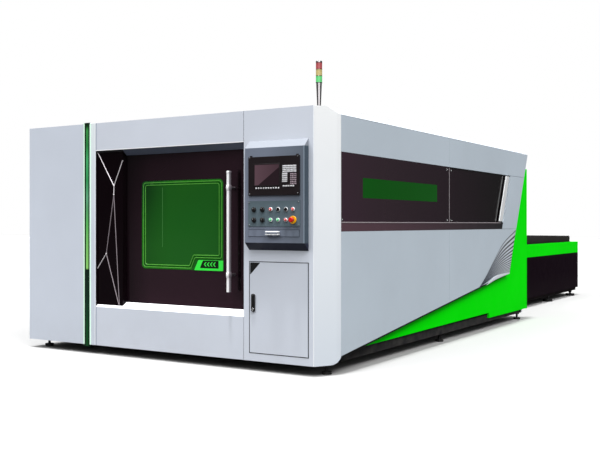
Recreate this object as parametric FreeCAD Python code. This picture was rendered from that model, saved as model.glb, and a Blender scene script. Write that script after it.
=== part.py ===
import FreeCAD, Part
import math
import os

V = FreeCAD.Vector

# A fiber laser cutting machine with a two-level exchange table. Millimetres.
# X runs across the front, Y from the front to the table's far end, Z up. While the pieces are built,
# X = 0 is the middle of the machine, Y = 0 its flat front and Z = 0 the lower edge of its cover.

# ---- driving dimensions ----
# Cover
COVER_W = 3279.0
COVER_D = 4920.0
COVER_H = 2000.0
FLOOR_GAP = 80.0
CORNER_W = 121.0
CORNER_D = 218.0
CORNER_LIFT = 62.0
CORNER_SWEEP = 92.0
KNEE_IN = 15.73
KNEE_BACK = 178.76
ROOF_BEVEL = 56.0
SHEET = 2.5
FOLD = 30.0
JOIN = 3.0

# Front, from the right
CONSOLE_PANEL_W = 656.0
BAY_W = 1635.0
POST_W = 71.0
LIGHT_BAR_W = 72.0
LIGHT_BAR_PROUD = 4.0
LIGHT_BAR_PAST = 21.0
LIGHT_BAR_RISE = 10.0
LIGHT_BAR_R = 6.0
LIGHT_BAR_WALL = 3.0
HEADER_H = 249.0
SILL_Z = 347.0
RECESS = 58.0
RECESS_RISE = 51.233
SILL_LIP = 20.0
PILASTER_W = 311.0
PILASTER_BACK = 20.0
PILASTER_TURN = 11.0

# Front door
DOOR_BACK = 4.0
DOOR_T = 40.0
DOOR_SKIN = 2.5
DOOR_LAP = 17.0
DOOR_UNDER_PILASTER = 28.5
DOOR_Z0 = 380.0
DOOR_HANG = 60.0
DOOR_GUIDE = 8.0
DOOR_GROOVE = 16.0
GUIDE_GAP = 1.5
GUIDE_IN = 12.0
HANGER_IN = 180.0
HANGER_W = 80.0
HANGER_T = 8.0
ROLLER_R = 13.5
ROLLER_W = 11.8
ROLLER_GAP = 0.2
ROLLER_LIFT = 0.5
TRACK_WALL = 3.0
TRACK_W = 44.0
TRACK_H = 35.0
TRACK_SLOT = 12.0
WINDOW_W = 889.0
WINDOW_H = 763.0
WINDOW_IN = 693.5
WINDOW_Z = 1084.5
WINDOW_R = 40.0
WINDOW_T = 8.0
FIT = 0.5
BAR_R = 19.0
BAR_IN = 131.0
BAR_Y = -20.0
BAR_Z0 = 541.0
BAR_L = 982.0
STANDOFF_R = 12.0
STANDOFF_IN = 138.0

# Frame
TUBE = 80.0
TUBE_WALL = 4.0
SLIM = 40.0
FRAME_GAP = 2.0
FRAME_UNDER = 70.0
MID_RAIL_Z = 950.0
CLIP_W = 40.0
CLIP_T = 20.0
BAY_POST_GAP = 6.0

# Right side, seen as Y and Z
SEAM_Y = 2419.0
BAND_Z0 = 1033.0
BAND_UNDER = 343.0
TRIM_Z = 1110.0
BAND_END_IN = 932.0
BAND_SLOPE = 0.467
BAND_GAP = 6.0
HEM_Z = 62.0
HEM_SLOPE = 0.1155
SLANT_PAST = 11.261
SLANT_SLOPE = 0.487
SKIRT_RECESS = 50.0
SKIRT_FOLD = 20.0
SKIRT_TIP_Y = 620.0
SKIRT_TIP_Z = 80.0
SKIRT_LOW_Z = 100.0
SKIRT_FOOT_IN = 1234.0
SKIRT_FOOT_Z = 42.0
SKIRT_END_PAST = 139.0
SKIRT_TOP_DOWN = 227.0
SKIRT_HIDDEN = 40.0
GLASS_T = 6.0
GLASS_BACK = 1.0
SIDE_WINDOW_Y0 = 582.0
SIDE_WINDOW_Y1 = 2107.0
SIDE_WINDOW_Z0 = 1304.0
SIDE_WINDOW_Z1 = 1467.0
SIDE_DOOR_BACK = 13.5
SIDE_DOOR_T = 14.0
SIDE_DOOR_RUN = 1.0
SIDE_DOOR_LOW = 7.0
SIDE_DOOR_HIGH = 4.0
SIDE_GROOVE = 9.0
SIDE_GUIDE_T = 3.0
SIDE_GUIDE_H = 22.0
SIDE_BAR_OUT = 12.0
SIDE_BAR_W = 100.0
SIDE_BAR_T = 10.0
SIDE_BAR_IN = 120.0
SIDE_BAR_LOW = 12.0
SIDE_BAR_HIGH = 15.0
SIDE_POST_R = 8.0

# Console
CONSOLE_LEFT = 56.0
CONSOLE_RIGHT = 44.0
CONSOLE_H = 866.0
CONSOLE_OUT = 60.0
CONSOLE_BEVEL = 60.0
CONSOLE_BOX_IN = 20.0
CONSOLE_BOX_SIDE = 40.0
CONSOLE_BOX_GAP = 4.0
CONSOLE_BOX_D = 250.0
CONSOLE_BOX_FIT = 2.0
SCREEN_UNIT_IN = 41.0
SCREEN_UNIT_W = 475.0
SCREEN_UNIT_UP = 430.0
SCREEN_UNIT_H = 304.0
SCREEN_UNIT_T = 12.0
EAR_W = 20.0
EAR_H = 10.0
EAR_IN = 12.0
SCREEN_IN = 63.0
SCREEN_W = 227.0
SCREEN_UP = 81.0
SCREEN_H = 159.0
SCREEN_T = 1.5
PLATE_IN = 35.0
PLATE_W = 483.0
PLATE_UP = 188.0
PLATE_H = 200.0
PLATE_T = 4.0
PLATE_SCREW_R = 4.0
PLATE_SCREW_IN = 12.0
ROW_HIGH = 132.5
ROW_LOW = 51.0
KNOBS_IN = (58.0, 138.0)
BUTTONS_IN = (216.0, 284.0, 355.5, 421.0)
CONTROL_GAP = 1.0
KNOB_R = 15.0
KNOB_T = 20.0
KNOB_GRIP = 7.0
SELECTOR_R = 13.0
SELECTOR_T = 9.0
SELECTOR_GRIP = 8.0
SELECTOR_OUT = 22.0
CAP_R = 11.0
CAP_T = 10.0
RING_GAP = 0.6
RING_WALL = 3.4
RING_T = 8.0
PRESS = 3.0
STEM_R = 5.0
STEM_FIT = 0.06
STEM_IN = 16.0
STOP_RING_R = 30.0
STOP_RING_T = 6.0
STOP_R = 20.0
STOP_OUT = 41.0
STOP_T = 18.0
STOP_ROUND = 6.0
STOP_PRESS = 5.0

# Keyboard drawer
DRAWER_IN = 37.0
DRAWER_W = 472.0
DRAWER_UP = 110.0
DRAWER_H = 51.0
DRAWER_GAP = 3.0
DRAWER_SIDE = 18.0
DRAWER_D = 230.0
DRAWER_FRONT_T = 3.0
DRAWER_SHEET = 2.0
DRAWER_RUNNER_GAP = 1.5
DRAWER_RUNNER_H = 24.0
DRAWER_BAR_W = 107.0
DRAWER_BAR_R = 4.0
DRAWER_BAR_OUT = 30.0

# Cabinet
CABINET_LEFT = 59.0
CABINET_RIGHT = 48.0
CABINET_Z0 = 64.0
CABINET_Z1 = 792.0
CABINET_GAP = 4.0
CABINET_D = 330.0
CABINET_TOP = 860.0
CABINET_DOOR_T = 25.0
HINGE_IN = 5.5
HINGE_Y = 6.0
HINGE_R = 3.0
HINGE_FIT = 0.06
HINGE_WALL = 3.0
HINGE_PIN_L = 12.0
LOCK_IN = 24.0
LOCK_W = 31.0
LOCK_Z0 = 394.0
LOCK_H = 140.0
LOCK_OUT = 12.0
LOCK_ROUND = 12.0
LOCK_FLOOR = 5.0
LEVER_W = 18.0
LEVER_ROOM = 4.0
LEVER_R = 4.0
LEVER_Y = -10.0
LEVER_DOWN = 14.0
LEVER_L = 78.0
LEVER_PIN_R = 2.0
EQUIPMENT_LEFT = 23.0
EQUIPMENT_RIGHT = 15.0
EQUIPMENT_IN = 10.0
MOUNTING_PLATE_T = 6.0
LASER_SOURCE = (200.0, 0.0, 240.0)
DRIVES = (150.0, 280.0, 480.0)
DRIVE_COUNT = 5
DRIVE_GAP = 12.0
TERMINALS = (90.0, 520.0, 560.0)
SUPPLY = (70.0, 600.0, 680.0)

# Signal tower
TOWER_IN = 99.0
TOWER_Y = 250.0
TOWER_R = 25.0
TOWER_WALL = 3.0
TOWER_FLANGE_R = 28.0
TOWER_FLANGE_T = 6.0
TOWER_NECK_R0 = 14.0
TOWER_NECK_R1 = 23.0
TOWER_LENS_Z = 214.0
TOWER_LENS_H = 53.0
TOWER_CAP_H = 14.0
TOWER_CAP_ROUND = 5.0

# Machine bed and gantry
BED_OUT = 195.0
BED_BEAM_W = 200.0
BED_BEAM_WALL = 12.0
BED_Y0 = 350.0
BED_END_IN = 220.0
BED_Z = 880.0
CROSS_BEAM = 200.0
RAIL_W = 20.0
RAIL_H = 25.0
RAIL_FIT = 0.6
RACK_OUT = 65.0
RACK_W = 24.0
GANTRY_PARK = 450.0
GANTRY_D = 180.0
GANTRY_GAP = 55.0
GANTRY_H = 200.0
GANTRY_OVER = 120.0
GANTRY_WALL = 8.0
BLOCK_W = 80.0
BLOCK_OVER = 60.0
BLOCK_DOWN = 15.0
MOTOR_W = 100.0
MOTOR_H = 160.0
FACE_RAIL_T = 14.0
FACE_RAIL_IN = 20.0
CARRIAGE_W = 260.0
CARRIAGE_D = 60.0
CARRIAGE_H = 340.0
CARRIAGE_GAP = 10.0
HEAD_W = 120.0
HEAD_D = 30.0
HEAD_R = 45.0
HEAD_SUNK = 10.0
HEAD_H = 230.0
HEAD_CONE_H = 80.0
HEAD_CONE_R = 14.0
HEAD_PLATE_UP = 90.0
HEAD_PLATE_H = 310.0
NOZZLE_UP = 100.0
NOZZLE_H = 30.0
NOZZLE_R = 3.0

# Pallets and exchange table
TABLE_MARGIN = 450.0
PALLET_IN = 104.5
PALLET_L = 3700.0
PALLET_TOP = 900.0
PALLET_STEP = 230.0
PALLET_FRAME_H = 100.0
PALLET_TUBE = 60.0
PALLET_CROSS_UP = 30.0
SLAT_T = 4.0
SLAT_PITCH = 70.0
SLAT_IN = 2.0
WHEEL_R = 35.0
WHEEL_W = 20.0
WHEEL_GAP = 3.0
WHEEL_IN = 150.0
PALLET_RAIL_T = 10.0
PALLET_PARK_Y = 700.0
SLOT_OUT = 43.0
SLOT_Z0 = 440.0
SLOT_Z1 = 930.0
SLOT_GAP = 1.0
TABLE_GAP = 5.0
TABLE_L = 4163.0
TABLE_RAIL_Z0 = 621.0
TABLE_RAIL_Z1 = 799.0
TABLE_PANEL_Z0 = 47.0
TABLE_PANEL_GAP = 1.0
TABLE_END_GAP = 44.0
LEG_IN = 40.0
LAST_LEG_IN = 264.0
TRAY_GAP = 2.0
FOOT_R = 40.0
FOOT_SCREW_R = 12.0
FOOT_PAD_T = 20.0
TABLE_FOOT_R = 70.0
TABLE_FOOT_PAD_T = 35.0
TABLE_FOOT_SCREW_R = 18.0

# ---- places worked out from them ----
X1 = COVER_W / 2
X0 = -X1
X_FLAT = X1 - CORNER_W
X_BAY1 = X_FLAT - CONSOLE_PANEL_W
X_BAY0 = X_BAY1 - BAY_W
X_POST = X_BAY0 - POST_W
X_BAR1 = X_POST - JOIN
X_BAR0 = X_BAR1 - LIGHT_BAR_W
X_BLOCK = X_BAR0 - JOIN * 2
X_PILASTER = X_BAY0 + PILASTER_W
PANEL_TOP = COVER_H - ROOF_BEVEL - JOIN
HEADER_Z = COVER_H - HEADER_H
BAND_Z1 = COVER_H - BAND_UNDER
SKIRT_X = X1 - SKIRT_RECESS
CORNER_FOLD_SLOPE = (CORNER_D - JOIN - FOLD) / (CORNER_W - JOIN - FOLD)

FRAME_TOP = COVER_H - FRAME_UNDER
FRAME_LOW = FRAME_TOP - TUBE
FRAME_X0 = X0 + FOLD + FRAME_GAP
FRAME_X1 = SKIRT_X - SKIRT_FOLD
FRAME_Y0 = FOLD + FRAME_GAP
FRAME_Y1 = COVER_D - FOLD - FRAME_GAP
RIGHT_TUBE_Y = FOLD + (FRAME_X1 - X_FLAT - JOIN) * CORNER_FOLD_SLOPE + JOIN

DOOR_Y = RECESS + DOOR_BACK
DOOR_MIDDLE = DOOR_Y + DOOR_T / 2
DOOR_LEFT = X_PILASTER - DOOR_UNDER_PILASTER
DOOR_RIGHT = X_BAY1 + DOOR_LAP
DOOR_Z1 = FRAME_LOW - DOOR_HANG
BAY_POST_X = DOOR_RIGHT + BAY_POST_GAP
CORNER_POST_X = X_FLAT - TUBE
SIDE_DOOR_X = X1 - SIDE_DOOR_BACK
SIDE_GROOVE_X1 = SIDE_DOOR_X + SIDE_DOOR_RUN
SIDE_GROOVE_X0 = SIDE_GROOVE_X1 - SIDE_DOOR_T - 2 * SIDE_DOOR_RUN

CONSOLE_X0 = X_BAY1 + CONSOLE_LEFT
CONSOLE_X1 = X_FLAT - CONSOLE_RIGHT
CONSOLE_Z1 = HEADER_Z
CONSOLE_Z0 = CONSOLE_Z1 - CONSOLE_H
CONSOLE_BOX_X0 = CONSOLE_X0 + CONSOLE_BOX_SIDE
CONSOLE_BOX_X1 = CORNER_POST_X - CONSOLE_BOX_GAP
FACE_Y = -CONSOLE_OUT
SCREEN_UNIT_X = CONSOLE_X0 + SCREEN_UNIT_IN
SCREEN_UNIT_Z = CONSOLE_Z0 + SCREEN_UNIT_UP
PLATE_X = CONSOLE_X0 + PLATE_IN
PLATE_Y = FACE_Y - PLATE_T
PLATE_Z = CONSOLE_Z0 + PLATE_UP
DRAWER_X0 = CONSOLE_X0 + DRAWER_IN
DRAWER_X1 = DRAWER_X0 + DRAWER_W
DRAWER_Z0 = CONSOLE_Z0 + DRAWER_UP
DRAWER_Z1 = DRAWER_Z0 + DRAWER_H
STOP_NECK_Y = PLATE_Y - STOP_RING_T - CONTROL_GAP - STOP_PRESS
FRONT_MOST = PLATE_Y - STOP_OUT

CABINET_X0 = X_BAY1 + CABINET_LEFT
CABINET_X1 = X_FLAT - CABINET_RIGHT
HINGE_X = CABINET_X1 - CABINET_GAP - HINGE_IN
LOCK_X = CABINET_X0 + LOCK_IN
LEVER_X = LOCK_X + LOCK_W / 2
LEVER_Z = LOCK_Z0 + LOCK_H - LEVER_DOWN
CABINET_BOX_X0 = BAY_POST_X + SLIM + JOIN
CABINET_BOX_X1 = CORNER_POST_X - JOIN
TOWER_X = X_FLAT - TOWER_IN

TABLE_HALF_W = X1 - TABLE_MARGIN
TABLE_Y0 = COVER_D + TABLE_GAP
TABLE_Y1 = TABLE_Y0 + TABLE_L
PALLET_HALF_W = TABLE_HALF_W - PALLET_IN
PALLET_Y = TABLE_Y1 - TABLE_END_GAP - PALLET_L
PALLET_RAIL_X = PALLET_HALF_W + WHEEL_GAP - 1
SLOT_HALF_W = PALLET_HALF_W + SLOT_OUT
BED_X = PALLET_HALF_W + BED_OUT
BED_Y1 = COVER_D - BED_END_IN
GANTRY_Y = BED_Y1 - GANTRY_PARK
GANTRY_Z0 = BED_Z + RAIL_H + GANTRY_GAP
CARRIAGE_Y = GANTRY_Y - CARRIAGE_GAP
NOZZLE_Z = PALLET_TOP + NOZZLE_UP

# ---- helpers ----


def box(x0, x1, y0, y1, z0, z1):
    return Part.makeBox(x1 - x0, y1 - y0, z1 - z0, V(x0, y0, z0))


def rod(r, start, end):
    axis = V(*end) - V(*start)
    return Part.makeCylinder(r, axis.Length, V(*start), axis)


def tube(x0, x1, y0, y1, z0, z1, along, wall=TUBE_WALL):
    """A rectangular tube, open at both ends along the given axis."""
    lo, hi = [x0, y0, z0], [x1, y1, z1]
    for i in range(3):
        if i != "xyz".index(along):
            lo[i] += wall
            hi[i] -= wall
    return box(x0, x1, y0, y1, z0, z1).cut(box(lo[0], hi[0], lo[1], hi[1], lo[2], hi[2]))


def outline(points):
    return Part.Face(Part.makePolygon(points + points[:1]))


def prism(points, along):
    return outline(points).extrude(along)


def tray(points, inward, depth=FOLD, sheet=SHEET):
    """A folded panel: a flat sheet of the outline with its edges turned inwards."""
    hollow = outline(points).makeOffset2D(-sheet, 2).extrude(inward * depth)
    hollow.translate(inward * sheet)
    return prism(points, inward * depth).cut(hollow)


def front_tray(x0, x1, z0, z1, y=0.0, depth=FOLD):
    return tray([V(x0, y, z0), V(x1, y, z0), V(x1, y, z1), V(x0, y, z1)], V(0, 1, 0), depth)


def side_tray(points, x=X1, inward=-1, depth=FOLD):
    return tray([V(x, y, z) for y, z in points], V(inward, 0, 0), depth)


def folded(points, along, sheet=SHEET):
    """A sheet bent along a downward line of (y, z) points, on their inner side, and drawn out along X."""
    line = Part.makePolygon([V(0, y, z) for y, z in points])
    return line.makeOffset2D(-sheet, 2, True, True).extrude(V(along, 0, 0))


def group(shapes):
    return Part.makeCompound([s for shape in shapes for s in shape.Solids])


def band_end(z):
    return COVER_D - BAND_END_IN + (z - BAND_Z0) * BAND_SLOPE


def slant(z):
    return COVER_D + SLANT_PAST + (z - PANEL_TOP) * SLANT_SLOPE


def hem(y):
    return HEM_Z + (y - CORNER_D) * HEM_SLOPE


def slant_meets_hem():
    """Where the slanted edge of the side panels comes down to their rising lower edge."""
    z = BAND_Z0
    for _ in range(30):
        z = hem(slant(z))
    return slant(z), z


# ---- frame, feet and bed ----


def frame_tubes():
    """The cover's frame: a base ring, columns, a top ring, a side rail and clips for the side panels."""
    low, right = FRAME_LOW, FRAME_X1 - TUBE
    seam0, seam1 = SEAM_Y - TUBE / 2, SEAM_Y + TUBE / 2
    parts = []
    for z0, z1 in ((0, TUBE), (low, FRAME_TOP)):
        parts.append(tube(FRAME_X0, X_FLAT, FRAME_Y0, FRAME_Y0 + TUBE, z0, z1, "x"))
        parts.append(tube(FRAME_X0, FRAME_X1, FRAME_Y1 - TUBE, FRAME_Y1, z0, z1, "x"))
        for x, y in ((FRAME_X0, FRAME_Y0 + TUBE), (right, RIGHT_TUBE_Y)):
            parts.append(tube(x, x + TUBE, y, FRAME_Y1 - TUBE, z0, z1, "y"))
    columns = [(FRAME_X0, TUBE, FRAME_Y0), (CORNER_POST_X, TUBE, FRAME_Y0), (BAY_POST_X, SLIM, FRAME_Y0)]
    for x in (FRAME_X0, right):
        columns += [(x, TUBE, seam0), (x, TUBE, FRAME_Y1 - TUBE)]
    for x, width, y in columns:
        parts.append(tube(x, x + width, y, y + TUBE, TUBE, low, "z"))
    parts.append(tube(FRAME_X0 + TUBE, right, seam0, seam1, low, FRAME_TOP, "x"))
    for y0, y1 in ((CORNER_D, seam0), (seam1, FRAME_Y1 - TUBE)):
        parts.append(tube(right, FRAME_X1, y0, y1, MID_RAIL_Z, MID_RAIL_Z + TUBE, "y"))
    return group(parts + panel_clips())


def panel_clips():
    """Small blocks from the right side's tubes out to the side panels' folds."""
    ys = (CORNER_D + CLIP_W, SEAM_Y - TUBE / 2 - 70, SEAM_Y + TUBE / 2 + 30, SEAM_Y + 1200)
    return [
        box(FRAME_X1, X1 - FOLD, y, y + CLIP_W, z, z + CLIP_T)
        for z in (MID_RAIL_Z + CLIP_T, FRAME_TOP - 2 * CLIP_T)
        for y in ys
    ]


def feet_places():
    xs = (FRAME_X0 + TUBE / 2, FRAME_X1 - TUBE / 2)
    places = [(x, y) for x in xs for y in (FRAME_Y0 + 150, SEAM_Y, FRAME_Y1 - TUBE / 2)]
    return places + [(x, y) for x in (-BED_X, BED_X) for y in (BED_Y0 + 100, SEAM_Y + 100, BED_Y1 - 100)]


def table_feet_places():
    table_x = TABLE_HALF_W - FOLD - SLIM / 2
    return [(x, y) for x in (-table_x, table_x) for y in leg_ys()]


def levelling_foot(x, y, pad_r, pad_t, screw_r):
    pad_top = pad_t - FLOOR_GAP
    return rod(pad_r, (x, y, -FLOOR_GAP), (x, y, pad_top)).fuse(rod(screw_r, (x, y, pad_top), (x, y, 0)))


def levelling_feet():
    """Screws with round pads between the floor and the frame, the bed and the table legs."""
    feet = [levelling_foot(x, y, FOOT_R, FOOT_PAD_T, FOOT_SCREW_R) for x, y in feet_places()]
    table_foot = TABLE_FOOT_R, TABLE_FOOT_PAD_T, TABLE_FOOT_SCREW_R
    return group(feet + [levelling_foot(x, y, *table_foot) for x, y in table_feet_places()])


def pallet_rails(y0, y1, x_out):
    """Flat rails on both sides for the wheels of the upper and the lower pallet."""
    x_in = PALLET_RAIL_X
    top = PALLET_TOP - 2 * PALLET_FRAME_H
    rails = []
    for z in (top, top - PALLET_STEP):
        for x0, x1 in ((-x_out, -x_in), (x_in, x_out)):
            rails.append(box(x0, x1, y0, y1, z - PALLET_RAIL_T, z))
    return rails


def machine_bed():
    """Two welded box beams joined by cross members, with the inner pallet rails bolted to them."""
    half = BED_BEAM_W / 2
    parts = []
    for x in (-BED_X, BED_X):
        parts.append(tube(x - half, x + half, BED_Y0, BED_Y1, 0, BED_Z, "y", BED_BEAM_WALL))
    inner = BED_X - half
    for y in (BED_Y0 + 50, (BED_Y0 + BED_Y1) / 2, BED_Y1 - 250):
        parts.append(tube(-inner, inner, y, y + CROSS_BEAM, 0, CROSS_BEAM, "x", BED_BEAM_WALL))
    return group(parts + pallet_rails(BED_Y0, BED_Y1, inner))


def bed_rails():
    """Two linear rails on the bed beams and a gear rack beside each of them."""
    parts = []
    for x, out in ((-BED_X, -1), (BED_X, 1)):
        parts.append(box(x - RAIL_W / 2, x + RAIL_W / 2, BED_Y0, BED_Y1, BED_Z, BED_Z + RAIL_H))
        rack, half = x + out * RACK_OUT, RACK_W / 2
        parts.append(box(rack - half, rack + half, BED_Y0, BED_Y1, BED_Z, BED_Z + RAIL_H))
    return group(parts)


# ---- cover ----


def cover_section(inset):
    """The cover as a long block with a bevelled right roof edge, each face moved in by inset."""
    z0 = -2 * FOLD
    points = [(X0, z0), (X1, z0), (X1, COVER_H - ROOF_BEVEL), (X1 - ROOF_BEVEL, COVER_H), (X0, COVER_H)]
    face = outline([V(x, 0, z) for x, z in points])
    if inset:
        face = face.makeOffset2D(-inset, 2)
    return face.extrude(V(0, COVER_D, 0))


def corner_points():
    return [
        (X_FLAT + JOIN, 0),
        (X1 - KNEE_IN, KNEE_BACK),
        (X1, CORNER_D - JOIN),
        (X1 - FOLD, CORNER_D - JOIN),
        (X_FLAT + JOIN, FOLD),
    ]


def corner_cover():
    """The faceted cover of the front right corner, a closed fold with a capped top and a rounded foot."""
    face = outline([V(x, y, 0) for x, y in corner_points()])
    outer = face.extrude(V(0, 0, COVER_H)).common(cover_section(0))
    inner = face.makeOffset2D(-SHEET, 2).extrude(V(0, 0, COVER_H)).common(cover_section(SHEET))
    r = (CORNER_SWEEP**2 + CORNER_LIFT**2) / (2 * CORNER_LIFT)
    y = CORNER_D - CORNER_SWEEP
    foot = box(X_FLAT, X1 + 1, y, CORNER_D, -1, CORNER_LIFT).cut(rod(r, (X_FLAT - 1, y, r), (X1 + 2, y, r)))
    return outer.cut(inner).cut(foot)


def roof_panels():
    """Two roof sheets, front and rear, with a folded left edge and a bevelled right edge."""
    shell = cover_section(0).cut(cover_section(SHEET))
    corner = [(X_FLAT, -1), (X1 + 1, -1), (X1 + 1, CORNER_D + 1)]
    corner += [(X1 - FOLD, CORNER_D + 1), (X_FLAT, FOLD + 1)]
    keep_out = prism([V(x, y, 0) for x, y in corner], V(0, 0, COVER_H + 1))
    panels = []
    for y0, y1 in ((FOLD + 1, SEAM_Y - JOIN / 2), (SEAM_Y + JOIN / 2, COVER_D - FOLD - 1)):
        strip = box(X0 - 1, X1 + 1, y0, y1, COVER_H - ROOF_BEVEL, COVER_H + 1)
        panels.append(shell.common(strip).cut(keep_out))
    return group(panels)


def left_panels():
    """Two plain panels on the left side."""
    spans = ((FOLD + 1, SEAM_Y - JOIN / 2), (SEAM_Y + JOIN / 2, COVER_D - FOLD - 1))
    return [side_tray([(a, 0), (b, 0), (b, PANEL_TOP), (a, PANEL_TOP)], X0, 1) for a, b in spans]


def rear_panels():
    """Four panels round the slot that the pallets pass through."""
    y, top, w = COVER_D, COVER_H, SLOT_HALF_W
    spans = [(X0, -w, 0, top), (w, FRAME_X1, 0, top)]
    inner = w - SLOT_GAP
    spans += [(-inner, inner, 0, SLOT_Z0), (-inner, inner, SLOT_Z1, top)]
    walls = []
    for x0, x1, z0, z1 in spans:
        corners = [V(x0, y, z0), V(x1, y, z0), V(x1, y, z1), V(x0, y, z1)]
        walls.append(tray(corners, V(0, -1, 0)))
    return walls


def left_and_rear_walls():
    return group(left_panels() + rear_panels())


def front_left_panels():
    """The wide left panel and the narrow post, with the light bar between them."""
    block = front_tray(X0, X_BLOCK, 0, COVER_H)
    return group([block, front_tray(X_POST, X_BAY0, 0, COVER_H)])


def light_bar():
    """A tall glossy cover over a strip of lamps, open at its back."""
    y0, y1 = -LIGHT_BAR_PROUD, FOLD
    z0, z1 = -LIGHT_BAR_PAST, COVER_H + LIGHT_BAR_RISE
    bar = box(X_BAR0, X_BAR1, y0, y1, z0, z1)
    edges = [e for e in bar.Edges if abs(e.CenterOfMass.y - y0) < 0.1 and e.Length > LIGHT_BAR_W * 2]
    bar = bar.makeFillet(LIGHT_BAR_R, edges)
    w = LIGHT_BAR_WALL
    return bar.cut(box(X_BAR0 + w, X_BAR1 - w, y0 + 2 * w, y1 + 1, z0 + w + 1, z1 - w - 1))


def header_panel():
    """The panel over the door, whose lower edge slopes back into the door recess."""
    lip = HEADER_Z - RECESS_RISE
    line = [(FOLD, COVER_H), (0, COVER_H), (0, HEADER_Z), (RECESS, lip), (RECESS, lip + FOLD)]
    panel = folded(line, BAY_W - JOIN - 1)
    panel.translate(V(X_BAY0 + JOIN, 0, 0))
    return panel


def sill_panel():
    """The panel under the door, whose upper edge slopes back into the door recess."""
    lip = SILL_Z + RECESS_RISE
    line = [(RECESS, lip - SILL_LIP), (RECESS, lip), (0, SILL_Z), (0, 0), (FOLD, 0)]
    panel = folded(line, BAY_W - JOIN - 1)
    panel.translate(V(X_BAY0 + JOIN, 0, 0))
    return panel


def header_and_sill_panels():
    return group([header_panel(), sill_panel()])


def pilaster_panel():
    """The dark panel left of the door, set back, with its right edge turned in to the door."""
    turn = (X_PILASTER + PILASTER_TURN, RECESS - 1)
    points = [(X_BAY0 + 1, PILASTER_BACK), (X_PILASTER, PILASTER_BACK), turn]
    line = Part.makePolygon([V(x, y, 0) for x, y in points])
    sheet = line.makeOffset2D(-SHEET, 2, True, True).extrude(V(0, 0, COVER_H))
    low, high = SILL_Z + JOIN + 1, HEADER_Z - JOIN - 1
    space = [(0, low), (RECESS, low + RECESS_RISE), (RECESS, high - RECESS_RISE), (0, high)]
    return sheet.common(prism([V(X_BAY0, y, z) for y, z in space], V(PILASTER_W + 2 * PILASTER_TURN, 0, 0)))


def console_panel():
    """The panel right of the door, open for the console and the cabinet, with the cabinet's rim."""
    x0, x1 = X_BAY1 + JOIN, X_FLAT - JOIN
    panel = front_tray(x0, x1, 0, COVER_H)
    fit, inn = CONSOLE_BOX_FIT, CONSOLE_BOX_IN - CONSOLE_BOX_FIT
    hole = box(CONSOLE_BOX_X0 - fit, CONSOLE_BOX_X1 + fit, -1, FOLD, CONSOLE_Z0 + inn, CONSOLE_Z1 - inn)
    rim = box(CABINET_X0 - SHEET, CABINET_X1 + SHEET, 0, FOLD, CABINET_Z0 - SHEET, CABINET_Z1 + SHEET)
    door_hole = box(CABINET_X0, CABINET_X1, -1, FOLD + 1, CABINET_Z0, CABINET_Z1)
    panel = panel.cut(hole).fuse(rim).cut(door_hole)
    reach = CABINET_GAP + HINGE_PIN_L
    for z0, z1 in ((CABINET_Z0 - 1, CABINET_Z0 + reach), (CABINET_Z1 - reach, CABINET_Z1 + 1)):
        panel = panel.fuse(rod(HINGE_R, (HINGE_X, HINGE_Y, z0), (HINGE_X, HINGE_Y, z1)))
    return panel


def right_upper_panels():
    """The side panels over the window band, and the one behind the band's slanted end."""
    top = PANEL_TOP
    seam0, seam1 = SEAM_Y - JOIN / 2, SEAM_Y + JOIN / 2
    front = [(CORNER_D, BAND_Z1), (seam0, BAND_Z1), (seam0, top), (CORNER_D, top)]
    rear = [(seam1, BAND_Z1), (slant(BAND_Z1), BAND_Z1), (slant(top), top), (seam1, top)]
    z0, z1 = BAND_Z0 + JOIN, BAND_Z1 - JOIN
    gap = BAND_GAP
    behind = [(band_end(z0) + gap, z0), (slant(z0), z0), (slant(z1), z1), (band_end(z1) + gap, z1)]
    return group([side_tray(points) for points in (front, rear, behind)])


def right_lower_panels():
    """The side panels under the window band. Their lower edge climbs to the rear."""
    seam0, seam1, top = SEAM_Y - JOIN / 2, SEAM_Y + JOIN / 2, BAND_Z0
    front = [(CORNER_D, HEM_Z), (seam0, hem(seam0)), (seam0, top), (CORNER_D, top)]
    rear = [(seam1, hem(seam1)), slant_meets_hem(), (slant(top), top), (seam1, top)]
    return group([side_tray(front), side_tray(rear)])


def green_skirt():
    """The set-back skirt that shows as a wedge below the side panels and as a fin behind them."""
    y_hem, z_hem = slant_meets_hem()
    foot_y, end_y, top = COVER_D - SKIRT_FOOT_IN, COVER_D + SKIRT_END_PAST, COVER_H - SKIRT_TOP_DOWN
    points = [
        (SKIRT_TIP_Y, SKIRT_TIP_Z),
        (foot_y, SKIRT_LOW_Z),
        (foot_y, SKIRT_FOOT_Z),
        (end_y, SKIRT_FOOT_Z),
        (end_y, top),
        (slant(top) - SKIRT_HIDDEN, top),
        (y_hem - SKIRT_HIDDEN, z_hem + SKIRT_HIDDEN),
        (SKIRT_TIP_Y, hem(SKIRT_TIP_Y) + SKIRT_HIDDEN),
    ]
    return side_tray(points, SKIRT_X, -1, SKIRT_FOLD)


def band_space(z0, z1, y0, inset, x, thick):
    """A flat piece of the window band, from y0 to the band's slanted end."""
    points = [(y0, z0), (band_end(z0) - inset, z0), (band_end(z1) - inset, z1), (y0, z1)]
    return prism([V(x, y, z) for y, z in points], V(-thick, 0, 0))


def side_window_hole(grow, x0, x1):
    y0, y1 = SIDE_WINDOW_Y0 - grow, SIDE_WINDOW_Y1 + grow
    return box(x0, x1, y0, y1, SIDE_WINDOW_Z0 - grow, SIDE_WINDOW_Z1 + grow)


def side_fixed_glass():
    """The dark glass in front of the seam, with an opening for the green window."""
    y1 = SEAM_Y - JOIN / 2
    x1 = X1 - GLASS_BACK
    glass = box(x1 - GLASS_T, x1, CORNER_D + 1, y1, TRIM_Z + 1, BAND_Z1 - 1)
    return glass.cut(side_window_hole(FIT, x1 - GLASS_T - 1, X1))


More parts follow.
